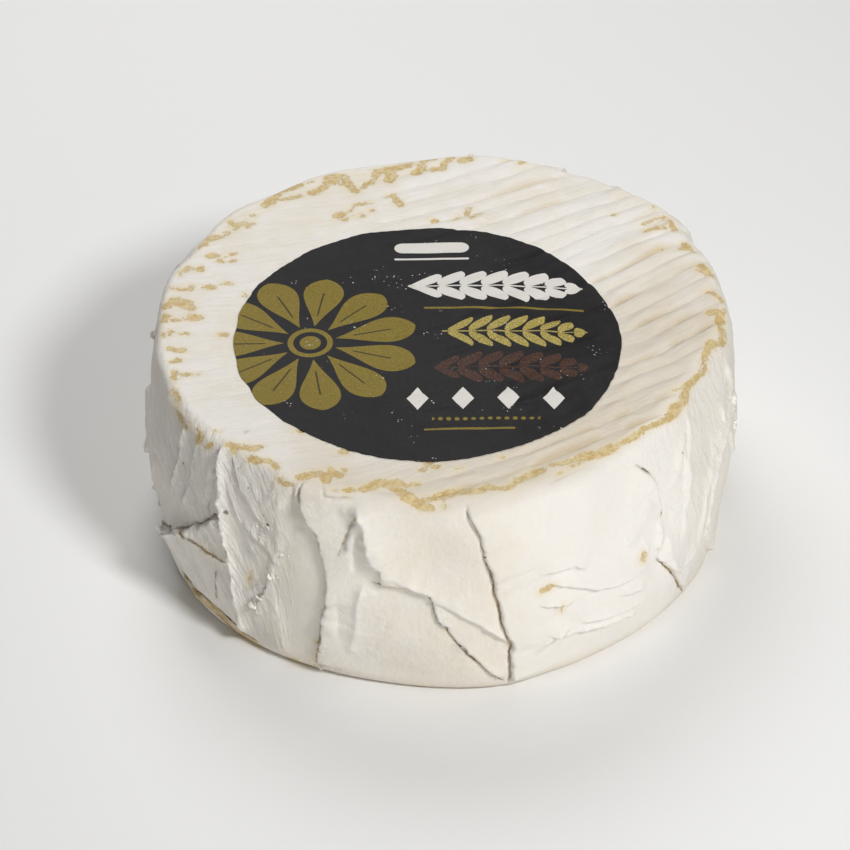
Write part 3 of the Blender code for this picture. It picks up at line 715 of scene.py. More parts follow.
# How the fibres of the mould lean on the wall, as the slope along it by turn
FIBRE_LEAN = ((-180, 0.2), (-90, 0.3), (-66, 0.55), (-45, 0.5), (-25, 0.1), (20, -0.1), (60, 0.1))
FIBRE_LEAN += ((120, -0.3),)
FIBRE_MIDDLE = 30
FIBRE_SQUEEZE = 0.14


def spots_field(turn, level, spots):
    """1 in the middle of each spot of (turn, level, size), fading to 0 round it."""
    field = np.zeros(len(turn))
    for spot_turn, spot_level, size in spots:
        square = along_wall(turn, spot_turn) ** 2 + (level - spot_level) ** 2
        field = np.maximum(field, np.exp(-square / size**2))
    return field


def shape_wheel(mesh):
    """Moves the turned blank's points to the real wheel's shape and notes what its finish needs."""
    points = read_points(mesh)
    radius = np.hypot(points[:, 0], points[:, 1])
    height = points[:, 2]
    turn = np.degrees(np.arctan2(points[:, 0], -points[:, 1]))
    inward = WHEEL_RADIUS - radius
    level = height + inward
    up = np.clip((height - WHEEL_HEIGHT + RIM_ROUNDING) / RIM_ROUNDING, 0, 1)
    out = np.sqrt(np.clip(1 - up * up, 0, 1))
    above_base = smooth(height / (2 * BASE_ROUNDING))

    grown = radius / WHEEL_RADIUS * wall_radius(turn, height)
    where = np.column_stack([outward(turn) * grown[:, None], height])

    near_rim = smooth(1 - (inward - RIM_ROUNDING) / LIFT_OVER_RIM)
    lifts, slides, feet, crests = fold_relief(turn, level)
    lift = (swell(where, WALL_SWELLS) + lifts) * near_rim * above_base
    slides *= (out * above_base)[:, None]

    grown += out * lift
    turn_moved = turn + np.degrees(slides[:, 0] / WHEEL_RADIUS)
    shaped = np.column_stack([outward(turn_moved) * grown[:, None], height + slides[:, 1]])
    x, y = shaped[:, 0], shaped[:, 1]
    ridges, furrow = mat_relief(x, y)
    over_rim = smooth((inward + 1.0) / RELIEF_OVER_RIM)
    shaped[:, 2] += top_height(x, y) * smooth(height / WHEEL_HEIGHT) + up * (ridges * over_rim + 0.5 * lift)
    ochre = ochre_field(x, y, shaped[:, 2], turn, level)
    shaped[:, 2] -= up * OCHRE_SUNK * smooth(ochre / 0.4 + 0.5)
    under_label = LABEL_RADIUS - from_label_centre(x, y)
    shaped[:, 2] -= UNDER_LABEL_DROP * smooth((under_label - 1.0) / 4) * (up > 0.99)
    crack, crack_near = crack_fields(turn, level)

    leaned = by_turn(turn, FIBRE_LEAN) * (height - FIBRE_MIDDLE) / WHEEL_RADIUS
    fibres = np.column_stack([
        x * np.cos(leaned) - y * np.sin(leaned),
        x * np.sin(leaned) + y * np.cos(leaned),
        height * FIBRE_SQUEEZE,
    ])
    values = {
        "ochre": ochre,
        "crack": crack,
        "crack_near": crack_near,
        "furrow": furrow * up * over_rim,
        "across_mat": across_mat(x, y),
        "foot": feet * out,
        "crest": crests * out,
        "speck": speck_field(turn, level),
        "crumbly": spots_field(turn, level, CRUMBLY) * out,
        "torn": spots_field(turn, level, TORN) * out,
        "crumpled": by_turn(turn, CRUMPLED),
        "creamy": by_turn(turn, CREAMY),
        "wall": out * above_base,
        "above_base": above_base * (level < WHEEL_HEIGHT + CRUMPLE_OVER_RIM),
    }
    for name, numbers in values.items():
        attribute = mesh.attributes.new(name, "FLOAT", "POINT")
        attribute.data.foreach_set("value", np.asarray(numbers, np.float32))
    attribute = mesh.attributes.new("fibres", "FLOAT_VECTOR", "POINT")
    attribute.data.foreach_set("vector", np.asarray(fibres, np.float32).ravel())
    shaped[:, :2] += wheel_axis
    write_points(mesh, shaped)


class Wire:
    """One output of a node. Arithmetic on it adds Math nodes to its tree."""

    def __init__(self, maker, socket):
        self.maker = maker
        self.socket = socket

    def math(self, operation, *others):
        return self.maker.add("ShaderNodeMath", {"operation": operation}, (self, *others))

    def flipped(self, operation, other):
        return self.maker.add("ShaderNodeMath", {"operation": operation}, (other, self))

    def __add__(self, other):
        return self.math("ADD", other)

    def __sub__(self, other):
        return self.math("SUBTRACT", other)

    def __rsub__(self, other):
        return self.flipped("SUBTRACT", other)

    def __mul__(self, other):
        return self.math("MULTIPLY", other)

    def __truediv__(self, other):
        return self.math("DIVIDE", other)

    def __rtruediv__(self, other):
        return self.flipped("DIVIDE", other)

    def __pow__(self, other):
        return self.math("POWER", other)

    def __mod__(self, other):
        return self.math("FLOORED_MODULO", other)

    def __abs__(self):
        return self.math("ABSOLUTE")

    __radd__ = __add__
    __rmul__ = __mul__

    def most(self, other):
        return self.math("MAXIMUM", other)

    def between(self, low, high):
        """0 below low, 1 above high, and a smooth step between them."""
        settings = {"interpolation_type": "SMOOTHSTEP"}
        inputs = {"Value": self, "From Min": low, "From Max": high}
        return self.maker.add("ShaderNodeMapRange", settings, inputs)


class Tree:
    """A node tree, of a material or of a geometry modifier, that expressions build."""

    def __init__(self, tree):
        self.tree = tree

    def add(self, kind, settings=None, inputs=None, output=0):
        """Adds one node: its settings first, then the values or links of its inputs. Gives one output."""
        node = self.tree.nodes.new(kind)
        for name, value in (settings or {}).items():
            setattr(node, name, value)
        pairs = inputs.items() if isinstance(inputs, dict) else enumerate(inputs or ())
        for key, value in pairs:
            if isinstance(value, Wire):
                self.tree.links.new(value.socket, node.inputs[key])
            else:
                node.inputs[key].default_value = value
        return Wire(self, node.outputs[output])

    def scaled(self, vector, amount):
        return self.add("ShaderNodeVectorMath", {"operation": "SCALE"}, {0: vector, "Scale": amount})


# The fine relief of the rind: between the folds it is crumpled like thin skin, and grainy where the
# mould stands dry. Geometry Nodes add it to the wheel along its normals, and Decimate then spends the
# triangles where the relief needs them.

RELIEF_SIZES = {
    "Crumple size": 13.0,
    "Crumple height": 0.80,
    "Wrinkle size": 3.6,
    "Wrinkle height": 0.60,
    "Grain size": 1.3,
    "Grain height": 0.9,
}


def tree_with_inputs(name, sizes):
    """A geometry tree with a mesh input, named number inputs and a material input."""
    group = bpy.data.node_groups.new(name, "GeometryNodeTree")
    group.interface.new_socket("Geometry", in_out="OUTPUT", socket_type="NodeSocketGeometry")
    group.interface.new_socket("Geometry", in_out="INPUT", socket_type="NodeSocketGeometry")
    for size in sizes:
        group.interface.new_socket(size, in_out="INPUT", socket_type="NodeSocketFloat")
    group.interface.new_socket("Material", in_out="INPUT", socket_type="NodeSocketMaterial")
    tree = Tree(group)
    source = group.nodes.new("NodeGroupInput")
    inputs = {socket.name: Wire(tree, socket) for socket in source.outputs if socket.name}
    return tree, inputs


def end_tree(tree, inputs, geometry):
    """Ends a geometry tree in Realize Instances and Set Material."""
    real = tree.add("GeometryNodeRealizeInstances", None, {"Geometry": geometry})
    painted = tree.add("GeometryNodeSetMaterial", None, {"Geometry": real, "Material": inputs["Material"]})
    end = tree.tree.nodes.new("NodeGroupOutput")
    tree.tree.links.new(painted.socket, end.inputs["Geometry"])
    return tree.tree


def use_tree(obj, group, sizes, material):
    """Puts a geometry tree on an object, with its inputs set by their sockets' identifiers."""
    modifier = obj.modifiers.new(group.name, "NODES")
    modifier.node_group = group
    values = dict(sizes, Material=material)
    for socket in group.interface.items_tree:
        if socket.in_out == "INPUT" and socket.name in values:
            modifier[socket.identifier] = values[socket.name]
    return modifier


def named_value(tree, name):
    return tree.add("GeometryNodeInputNamedAttribute", {"data_type": "FLOAT"}, {"Name": name})


def rind_relief_tree():
    tree, inputs = tree_with_inputs("Rind relief", RELIEF_SIZES)
    place = tree.add("GeometryNodeInputPosition")
    warp = tree.add("ShaderNodeTexNoise", None, {"Vector": place, "Scale": 90.0, "Detail": 2.0}, "Color")
    small_warp = tree.scaled(warp, 0.012)
    warped = tree.add("ShaderNodeVectorMath", {"operation": "ADD"}, {0: place, 1: small_warp})
    crumple = tree.add(
        "ShaderNodeTexVoronoi",
        {"feature": "SMOOTH_F1"},
        {"Vector": warped, "Scale": 1 / inputs["Crumple size"], "Smoothness": 0.25, "Randomness": 1.0},
    )
    wrinkle = tree.add(
        "ShaderNodeTexNoise",
        {"noise_type": "RIDGED_MULTIFRACTAL", "normalize": True},
        {"Vector": warped, "Scale": 1 / inputs["Wrinkle size"], "Detail": 3.0, "Roughness": 0.5, "Gain": 2.0},
    )
    grain = tree.add(
        "ShaderNodeTexNoise", None, {"Vector": place, "Scale": 1 / inputs["Grain size"], "Detail": 4.0}
    )
    patches = tree.add("ShaderNodeTexNoise", None, {"Vector": place, "Scale": 55.0, "Detail": 2.0})
    wall = named_value(tree, "wall")
    above_base = named_value(tree, "above_base")
    crumpled = named_value(tree, "crumpled") * wall
    height = (crumple - 0.45) * inputs["Crumple height"] * crumpled
    height += (wrinkle - 0.3) * inputs["Wrinkle height"] * (crumpled + 0.15) * patches.between(0.35, 0.7)
    height += (grain - 0.5) * inputs["Grain height"] * named_value(tree, "crumbly")
    normal = tree.add("GeometryNodeInputNormal")
    offset = tree.scaled(normal, height * above_base)
    moved = tree.add("GeometryNodeSetPosition", None, {"Geometry": inputs["Geometry"], "Offset": offset})
    return end_tree(tree, inputs, moved)


# The rind's finish: chalky white mould over a cream skin, creamier in the furrows and on rubbed panels,
# ochre where the mould is gone, brown in the cracks, with a fine felt-like grain. Light and shade are painted
# in it too: the top darker towards the front right, shade in the cracks and at the feet of folds, and a
# white highlight along their crests.


def colour(red, green, blue):
    """A colour given as the 0 to 255 values of a screen, in Blender's linear ones."""
    linear = []
    for value in (red, green, blue):
        share = value / 255
        linear.append(share / 12.92 if share <= 0.04045 else ((share + 0.055) / 1.055) ** 2.4)
    return (*linear, 1.0)


MOULD_WHITE = colour(246, 242, 236)
SKIN_CREAM = colour(238, 230, 214)
# The top's darker tone towards the front right: partly a creamier skin, partly painted shade where the light
# falls off
TOP_CREAM_AND_SHADE = colour(220, 208, 188)
FURROW_BEIGE = colour(214, 200, 174)
HALO_CREAM = colour(238, 222, 184)
OCHRE_LIGHT = colour(226, 206, 158)
OCHRE_DEEP = colour(206, 174, 110)
OCHRE_DARK = colour(184, 148, 84)
# Painted shade in the folds' creases, partly the rind's own brown
CREASE_SHADE = colour(150, 130, 104)
# The cracks' dark colour: the rind's brown in them, and painted shadow in the gaps of folds. The specks use
# it as their own brown.
CRACK_BROWN_AND_SHADE = colour(124, 98, 66)


class Finish(Tree):
    """A material with one Principled shader, whose inputs expressions feed."""

    def __init__(self, name):
        self.material = bpy.data.materials.new(name)
        self.material.use_nodes = True
        super().__init__(self.material.node_tree)
        self.shader = self.tree.nodes["Principled BSDF"]

    def set(self, **inputs):
        for name, value in inputs.items():
            socket = self.shader.inputs[name.replace("_", " ").title()]
            if isinstance(value, Wire):
                self.tree.links.new(value.socket, socket)
            else:
                socket.default_value = value

    def millimetres(self, centre):
        """Object coordinates in millimetres from a point of the frame."""
        place = self.add("ShaderNodeTexCoord", None, None, "Object")
        inputs = {"Vector": place, "Location": (-centre[0], -centre[1], 0.0), "Scale": (1 / MM,) * 3}
        return self.add("ShaderNodeMapping", None, inputs)

    def noise(self, vector, size, detail=3.0, roughness=0.5, distortion=0.0):
        inputs = {"Vector": vector, "Scale": 1 / size, "Detail": detail, "Roughness": roughness}
        return self.add("ShaderNodeTexNoise", None, {**inputs, "Distortion": distortion})

    def value_of(self, name):
        return self.add("ShaderNodeAttribute", {"attribute_name": name}, None, "Fac")

    def mixed(self, share, first, second):
        settings = {"data_type": "RGBA", "blend_type": "MIX"}
        return self.add("ShaderNodeMix", settings, {0: share, 6: first, 7: second}, 2)

    def mixed_value(self, share, first, second):
        return self.add("ShaderNodeMix", {"data_type": "FLOAT"}, {0: share, 2: first, 3: second})

    def bump(self, height, strength=1.0):
        """A Bump node for a height in millimetres."""
        inputs = {"Height": height, "Distance": MM, "Strength": strength}
        return self.add("ShaderNodeBump", None, inputs, "Normal")


def rind_finish():
    rind = Finish("bloomy_rind")
    place = rind.millimetres(wheel_axis)
    wall = rind.value_of("wall")
    furrow = rind.value_of("furrow")
    crumbly = rind.value_of("crumbly")
    crumpled = rind.value_of("crumpled")
    ochre_inside = rind.value_of("ochre")
    fibre_place = rind.add("ShaderNodeAttribute", {"attribute_name": "fibres"}, None, "Vector")
    x_place = rind.add("ShaderNodeSeparateXYZ", None, {"Vector": place}, "X")
    y_place = rind.add("ShaderNodeSeparateXYZ", None, {"Vector": place}, "Y")
    straw_place = rind.add(
        "ShaderNodeCombineXYZ", None, {"X": x_place * 0.09, "Y": rind.value_of("across_mat"), "Z": 0.0}
    )

    broad = rind.noise(place, 24.0, 3.0, 0.55)
    patches = rind.noise(place, 6.0, 5.0, 0.62, 0.5)
    specks = rind.noise(place, 0.9, 4.0, 0.65)
    straw_streaks = rind.noise(straw_place, 1.2, 4.0, 0.66)
    wall_streaks = rind.noise(fibre_place, 1.5, 4.0, 0.62, 0.7)
    fibrous = crumpled.between(0.34, 0.95)
    streaks = rind.mixed_value(wall, straw_streaks, (wall_streaks - 0.5) * fibrous + 0.5)

    rubbed = (broad * 0.55 + patches * 0.2 + streaks * 0.25).between(0.40, 0.62)
    creamy = rind.value_of("creamy") * (rubbed * 0.5 + 0.5)
    skin = rind.mixed(rind.mixed_value(wall, rubbed * 0.8, creamy), MOULD_WHITE, SKIN_CREAM)
    # The top darker and creamier towards the front right: partly its creamier skin, partly painted shade
    # where the light falls off
    shade_to_front_right = (x_place * 0.6 - y_place * 0.8 + (broad - 0.5) * 40.0).between(-5.0, 55.0) * (1 - wall)
    skin = rind.mixed(shade_to_front_right * (0.5 + straw_streaks * 0.5), skin, TOP_CREAM_AND_SHADE)
    in_furrow = (furrow * 1.1 + (streaks - 0.5) * 0.8 + (specks - 0.5) * 0.4).between(0.25, 1.1)
    skin = rind.mixed(in_furrow * (1 - wall) * (0.45 + shade_to_front_right * 0.35), skin, FURROW_BEIGE)
    # A white line along the tops of folds and ridges: partly dry white mould, partly painted highlight
    skin = rind.mixed(rind.value_of("crest") * patches.between(0.3, 0.6) * 0.8, skin, MOULD_WHITE)

    ragged = rind.noise(place, 2.6, 5.0, 0.65, 0.6)
    frayed = rind.noise(place, 0.7, 4.0, 0.7)
    islands = rind.noise(place, 1.7, 3.0, 0.6)
    uneven = rind.noise(place, 6.0, 2.0)
    ochre_edge = ochre_inside + (uneven - 0.5) * 2.2 + (ragged - 0.5) * 2.4 + (frayed - 0.5) * 2.2
    island = islands.between(0.60, 0.68) * (1 - ochre_edge.between(0.5, 1.1))
    ochre_mask = ochre_edge.between(-0.15, 0.35) * (1 - island * 0.85)
    ochre_wash = (ochre_inside + (patches - 0.5) * 2.5).between(-2.0, 0.5)
    ochre = rind.mixed(rind.noise(place, 1.7, 4.0, 0.65).between(0.40, 0.62), OCHRE_LIGHT, OCHRE_DEEP)
    dashes = rind.noise(place, 0.9, 3.0, 0.6).between(0.60, 0.72)
    ochre = rind.mixed(dashes * 0.55, ochre, OCHRE_DARK)
    colours = rind.mixed(ochre_wash * 0.5, skin, HALO_CREAM)
    colours = rind.mixed(ochre_mask * 0.95, colours, ochre)

    # Painted shade at the bottom of curled folds' drops, partly the rind's own brown
    foot = (rind.value_of("foot") + (frayed - 0.5) * 0.7).between(0.30, 0.95)
    colours = rind.mixed(foot * 0.6, colours, CREASE_SHADE)

    # Dark crack lines: partly the brown of the cracks, partly painted shadow in the gaps of the folds they
    # follow. Ochre stains lie beside them.
    crack_far = abs(rind.value_of("crack") + CRACK_BELOW_LIP + (frayed - 0.5) * 0.6)
    crack_dark = rind.value_of("crack_near")
    broken = ragged.between(0.40, 0.56)
    crack_line = (1 - crack_far.between(0.12, 0.42)) * crack_dark * (broken * 0.6 + 0.4)
    crack_stain = (1 - crack_far.between(0.2, 1.1)) * crack_dark * patches.between(0.42, 0.6)
    colours = rind.mixed(crack_stain * 0.85, colours, OCHRE_LIGHT)
    colours = rind.mixed(crack_line, colours, CRACK_BROWN_AND_SHADE)

    speck_mask = (rind.value_of("speck") + (frayed - 0.5) * 0.8).between(0.40, 0.62)
    colours = rind.mixed(speck_mask * 0.8, colours, CRACK_BROWN_AND_SHADE)

    grain = rind.noise(place, 0.45, 3.0, 0.7)
    felt = rind.noise(place, 1.5, 4.0, 0.6)
    lumps = rind.noise(place, 4.5, 4.0, 0.6)
    relief = grain * 0.05 + felt * 0.12 - ochre_mask * 0.08 - crack_line * 0.20 - speck_mask * 0.15
    relief += straw_streaks * (1 - wall) * 0.36 + wall_streaks * wall * (fibrous * 0.9 + 0.02)
    relief += lumps * wall * 0.45 + grain * crumbly * 0.4
    rind.set(
        Base_Color=colours,
        Roughness=0.78 - ochre_mask * 0.22 - rubbed * 0.1,
        Normal=rind.bump(relief),
        Subsurface_Weight=0.12,
        Subsurface_Radius=(1.0, 0.75, 0.5),
        Subsurface_Scale=2.0 * MM,
    )
    rind.shader.inputs["Specular IOR Level"].default_value = 0.3
    return rind.material


def make_wheel():
    mesh = turned("wheel", wheel_profile(), TURN_STEPS)
    shape_wheel(mesh)
    blank = shown("wheel", mesh)
    sizes = {name: size * MM for name, size in RELIEF_SIZES.items()}
    use_tree(blank, rind_relief_tree(), sizes, rind_finish())
    mesh.calc_loop_triangles()
    decimate = blank.modifiers.new("Decimate", "DECIMATE")
    decimate.ratio = min(1.0, WHEEL_TRIANGLES / len(mesh.loop_triangles))
    mesh = finished(blank, "cheese_rind")
    keep_in_box(mesh)
    return shown("cheese_rind", mesh)


wheel = make_wheel()
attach(wheel, "root")
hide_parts("cheese_wheel")

# The loose mould: dry crumbs along the cracks and edges, and torn shards of rind that stand up from the
# wall. Geometry Nodes scatter chips over the wheel where it is crumbly or torn, and roughen each one.


def loose_mould_tree(name, spots):
    """Scatters chips over a mesh, as densely as the named attribute says."""
    sizes = ("Chips per area", "Smallest", "Largest", "Thickness", "Raggedness")
    tree, inputs = tree_with_inputs(name, sizes)
    density = named_value(tree, spots).between(0.15, 0.9) * inputs["Chips per area"]
    spread = {"Mesh": inputs["Geometry"], "Density": density, "Seed": 12}
    scattered = tree.add("GeometryNodeDistributePointsOnFaces", None, spread)
    chip = tree.add("GeometryNodeMeshIcoSphere", None, {"Radius": 1.0, "Subdivisions": 2})
    any_turn = {"Min": (0.0, 0.0, 0.0), "Max": (2 * math.pi,) * 3, "Seed": 21}
    rotation = tree.add("FunctionNodeRandomValue", {"data_type": "FLOAT_VECTOR"}, any_turn)
    length = random_number(tree, inputs["Smallest"], inputs["Largest"], 22)
    width = random_number(tree, inputs["Smallest"], inputs["Largest"], 23)
    thickness = length * inputs["Thickness"]
    scale = tree.add("ShaderNodeCombineXYZ", None, {"X": length, "Y": width, "Z": thickness})
    chips = {"Points": scattered, "Instance": chip, "Rotation": rotation, "Scale": scale}
    placed = tree.add("GeometryNodeInstanceOnPoints", None, chips)
    real = tree.add("GeometryNodeRealizeInstances", None, {"Geometry": placed})
    place = tree.add("GeometryNodeInputPosition")
    rough = tree.add("ShaderNodeTexNoise", None, {"Vector": place, "Scale": 2200.0, "Detail": 1.0}, "Color")
    around = tree.add("ShaderNodeVectorMath", {"operation": "SUBTRACT"}, {0: rough, 1: (0.5, 0.5, 0.5)})
    offset = tree.scaled(around, inputs["Raggedness"])
    ragged = tree.add("GeometryNodeSetPosition", None, {"Geometry": real, "Offset": offset})
    flat = tree.add("GeometryNodeSetShadeSmooth", None, {"Geometry": ragged, "Shade Smooth": False})
    return end_tree(tree, inputs, flat)


def random_number(tree, low, high, seed):
    """A random size for each point."""
    node = tree.add("FunctionNodeRandomValue", {"data_type": "FLOAT"}, {"Seed": seed}).socket.node
    for index, value in ((2, low), (3, high)):
        tree.tree.links.new(value.socket, node.inputs[index])
    return Wire(tree, node.outputs[1])


def crumb_finish():
    """Dry white mould, a little creamy in places."""
    crumb = Finish("dry_mould")
    place = crumb.millimetres(wheel_axis)
    creamy = crumb.noise(place, 1.2, 3.0, 0.6).between(0.45, 0.65)
    crumb.set(
        Base_Color=crumb.mixed(creamy * 0.6, MOULD_WHITE, SKIN_CREAM),
        Roughness=0.85,
        Normal=crumb.bump(crumb.noise(place, 0.3, 3.0) * 0.05),
    )
    return crumb.material


LOOSE_KINDS = {
    "rind_crumbs": ("crumbly", (1.3, 0.08, 0.28, 0.8, 0.26)),
    "torn_shards": ("torn", (1.3, 0.30, 1.30, 0.20, 0.60)),
}


def make_loose_mould(name, spots, sizes, material):
    per_area, smallest, largest, thickness, raggedness = sizes
    base = linked(name, wheel.data.copy())
    values = {
        "Chips per area": per_area / MM**2, "Smallest": smallest * MM, "Largest": largest * MM,
        "Thickness": thickness, "Raggedness": raggedness * MM,
    }
    use_tree(base, loose_mould_tree(name, spots), values, material)
    mesh = finished(base, name)
    keep_in_box(mesh)
    loose = linked(name, mesh)
    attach(loose, "root")


dry_mould = crumb_finish()
for loose_name, (loose_spots, loose_sizes) in LOOSE_KINDS.items():
    make_loose_mould(loose_name, loose_spots, loose_sizes, dry_mould)

# The label: a disc of satin black paper pressed onto the rind, which bridges the mat's furrows and dips a
# little into them at its edge. Its print is generic: a gold rosette, a cream garland, an ear of wheat and
# one of bran, diamonds, beads and bars. Places on it are in millimetres from its centre.

PAPER_THICKNESS = 0.14
PAPER_LIFT = 0.10
PAPER_STEPS = 400
PAPER_PITCH = 1.0
PAPER_EDGE = 0.4
PAPER_SHARP_ANGLE = 50
PAPER_EDGE_WANDER = ((0.10, 9.0, 31), (0.05, 2.5, 32))

PAPER_BLACK = colour(31, 29, 31)
PAPER_BLACK_WORN = colour(44, 42, 43)
PRINT_GOLD = colour(122, 105, 36)
PRINT_GOLD_LIGHT = colour(152, 134, 62)
PRINT_STRAW = colour(204, 188, 112)
PRINT_BROWN = colour(52, 34, 30)
PRINT_BROWN_LIGHT = colour(108, 76, 60)
PRINT_CREAM = colour(229, 225, 219)

ROSETTE_CENTRE = (-29.0, -2.0)
ROSETTE_RADIUS = 27.0
ROSETTE_HEART = 6.5
ROSETTE_PETALS = 11

# Bars: centre, half length, half height. Rows: centre, length, pitch, and a bead's radius or a diamond's
# half height. Sprays: centre, length, leaf pitch, leaf length, fatness of the leaves
GOLD_LINE = ((19.0, 13.0), 20.0, 0.4)
GOLD_LOW_LINE = ((10.0, -35.5), 11.0, 0.4)
CREAM_BAR = ((1.0, 39.0), 9.5, 2.2)
CREAM_LINE = ((1.0, 34.2), 9.5, 0.4)
BEAD_ROW = ((14.0, -31.5), 26.0, 2.0, 0.6)
DIAMOND_ROW = ((14.0, -23.5), 44.0, 11.0, 4.3)
WHEAT_SPRAY = ((21.5, 3.0), 36.0, 4.4, 6.6, 1.35)
BRAN_SPRAY = ((20.5, -11.5), 38.0, 5.0, 6.0, 1.45)
CREAM_SPRAY = ((17.0, 22.5), 44.0, 5.4, 6.2, 1.6)


def soft_edge(distance, edge):
    """1 inside an edge and 0 outside it, for a distance in millimetres."""
    return 1 - distance.between(edge - 0.08, edge + 0.08)


def bar(x, y, centre, half_length, half_height):
    """A bar with round ends."""
    along = (abs(x - centre[0]) - (half_length - half_height)).most(0.0)
    across = y - centre[1]
    return soft_edge((along * along + across * across) ** 0.5, half_height)


def ring(x, y, centre, radius, half_width):
    off_x = x - centre[0]
    off_y = y - centre[1]
    return soft_edge(abs((off_x * off_x + off_y * off_y) ** 0.5 - radius), half_width)


def beads(x, y, centre, length, pitch, radius):
    """A row of round beads, by folding x into one bead."""
    inside = soft_edge(abs(x - centre[0]), length / 2)
    off_x = (x - centre[0]) % pitch - pitch / 2
    off_y = y - centre[1]
    return soft_edge((off_x * off_x + off_y * off_y) ** 0.5, radius) * inside


def diamonds(x, y, centre, length, pitch, half_height):
    """A row of upright diamonds, by folding x into one."""
    inside = soft_edge(abs(x - centre[0]), length / 2)
    off_x = abs((x - centre[0]) % pitch - pitch / 2)
    off_y = abs(y - centre[1])
    return soft_edge(off_x * 1.6 + off_y, half_height) * inside


def rosette(x, y):
    """Pointed petals round a ring, by folding the turn about the centre into one petal. Also a mask of
    the dark veins in the petals."""
    off_x = x - ROSETTE_CENTRE[0]
    off_y = y - ROSETTE_CENTRE[1]
    distance = (off_x * off_x + off_y * off_y) ** 0.5
    petal_angle = 2 * math.pi / ROSETTE_PETALS
    angle = off_y.math("ARCTAN2", off_x)
    folded = abs((angle + 4 * math.pi) % petal_angle - petal_angle / 2)
    share = (distance - ROSETTE_HEART) / (ROSETTE_RADIUS - ROSETTE_HEART)
    width = (share * (1 - share) * (share * 0.9 + 0.55)).most(0.0) ** 0.7 * 1.15 * petal_angle
    petals = (width - folded).between(0.001, 0.010)
    vein_length = (share - 0.2).between(0.0, 0.05) * (0.72 - share).between(0.0, 0.05)
    vein = soft_edge(folded * distance, 0.22) * vein_length
    heart_ring = ring(x, y, ROSETTE_CENTRE, ROSETTE_HEART - 1.6, 0.7)
    heart = soft_edge(distance, 2.6)
    return petals.most(heart_ring).most(heart), vein


def leaf_spray(x, y, centre, length, leaf_pitch, leaf_length, fatness):
    """Pairs of slanted leaves on a straight stem, shorter towards its ends, by folding x into one pair."""
    off_x = x - centre[0]
    off_y = abs(y - centre[1])
    inside = soft_edge(abs(off_x), length / 2)
    from_middle = abs(off_x) / (length / 2)
    reach = (1.02 - from_middle ** 4.0) * leaf_length
    folded = (off_x - off_y * 0.8) % leaf_pitch - leaf_pitch / 2
    share = off_y / reach.most(0.1)
    width = (share * (1 - share)).most(0.0) ** 0.8 * leaf_pitch * fatness
    leaves = (width - abs(folded)).between(0.02, 0.16) * inside
    stem = soft_edge(off_y, 0.25) * inside
    return leaves.most(stem)


def label_finish():
    paper = Finish("printed_paper")
    place = paper.millimetres(wheel_axis + LABEL_CENTRE)
    x = paper.add("ShaderNodeSeparateXYZ", None, {"Vector": place}, "X")
    y = Wire(paper, x.socket.node.outputs["Y"])

    petals, veins = rosette(x, y)
    gold = petals.most(bar(x, y, *GOLD_LINE))
    gold = gold.most(beads(x, y, *BEAD_ROW))
    gold = gold.most(bar(x, y, *GOLD_LOW_LINE))
    wheat = leaf_spray(x, y, *WHEAT_SPRAY)
    bran = leaf_spray(x, y, *BRAN_SPRAY)
    cream = leaf_spray(x, y, *CREAM_SPRAY)
    cream = cream.most(diamonds(x, y, *DIAMOND_ROW))
    cream = cream.most(bar(x, y, *CREAM_BAR)).most(bar(x, y, *CREAM_LINE))

    speckle = paper.noise(place, 0.30, 2.0, 0.8)
    cloudy = paper.noise(place, 8.0, 4.0, 0.6)
    scuff = paper.noise(place, 0.8, 5.0, 0.75)
    fibre = paper.noise(place, 0.25, 2.0, 0.7)
    dust = paper.add("ShaderNodeTexVoronoi", None, {"Vector": place, "Scale": 0.9, "Randomness": 1.0})
    dust_here = paper.noise(place, 7.0, 3.0, 0.6).between(0.60, 0.68)
    dust_mask = (1 - dust.between(0.10, 0.24)) * dust_here

    gold_colour = paper.mixed(speckle.between(0.38, 0.68), PRINT_GOLD, PRINT_GOLD_LIGHT)
    wheat_colour = paper.mixed(speckle.between(0.35, 0.62), PRINT_GOLD, PRINT_STRAW)
    bran_colour = paper.mixed(speckle.between(0.40, 0.70), PRINT_BROWN, PRINT_BROWN_LIGHT)
    black = paper.mixed(cloudy * 0.5 + (scuff - 0.5) * 0.3, PAPER_BLACK, PAPER_BLACK_WORN)
    colours = paper.mixed(gold, black, gold_colour)
    colours = paper.mixed(veins * 0.8, colours, PAPER_BLACK)
    colours = paper.mixed(wheat, colours, wheat_colour)
    colours = paper.mixed(bran, colours, bran_colour)
    colours = paper.mixed(cream, colours, PRINT_CREAM)
    colours = paper.mixed(dust_mask * 0.9, colours, MOULD_WHITE)
    paper.set(
        Base_Color=colours,
        Roughness=0.46 + scuff * 0.16 + dust_mask * 0.3,
        Normal=paper.bump(fibre * 0.015 + cloudy * 0.30 + scuff * 0.03 + dust_mask * 0.1),
    )
    paper.shader.inputs["Specular IOR Level"].default_value = 0.16
    return paper.material


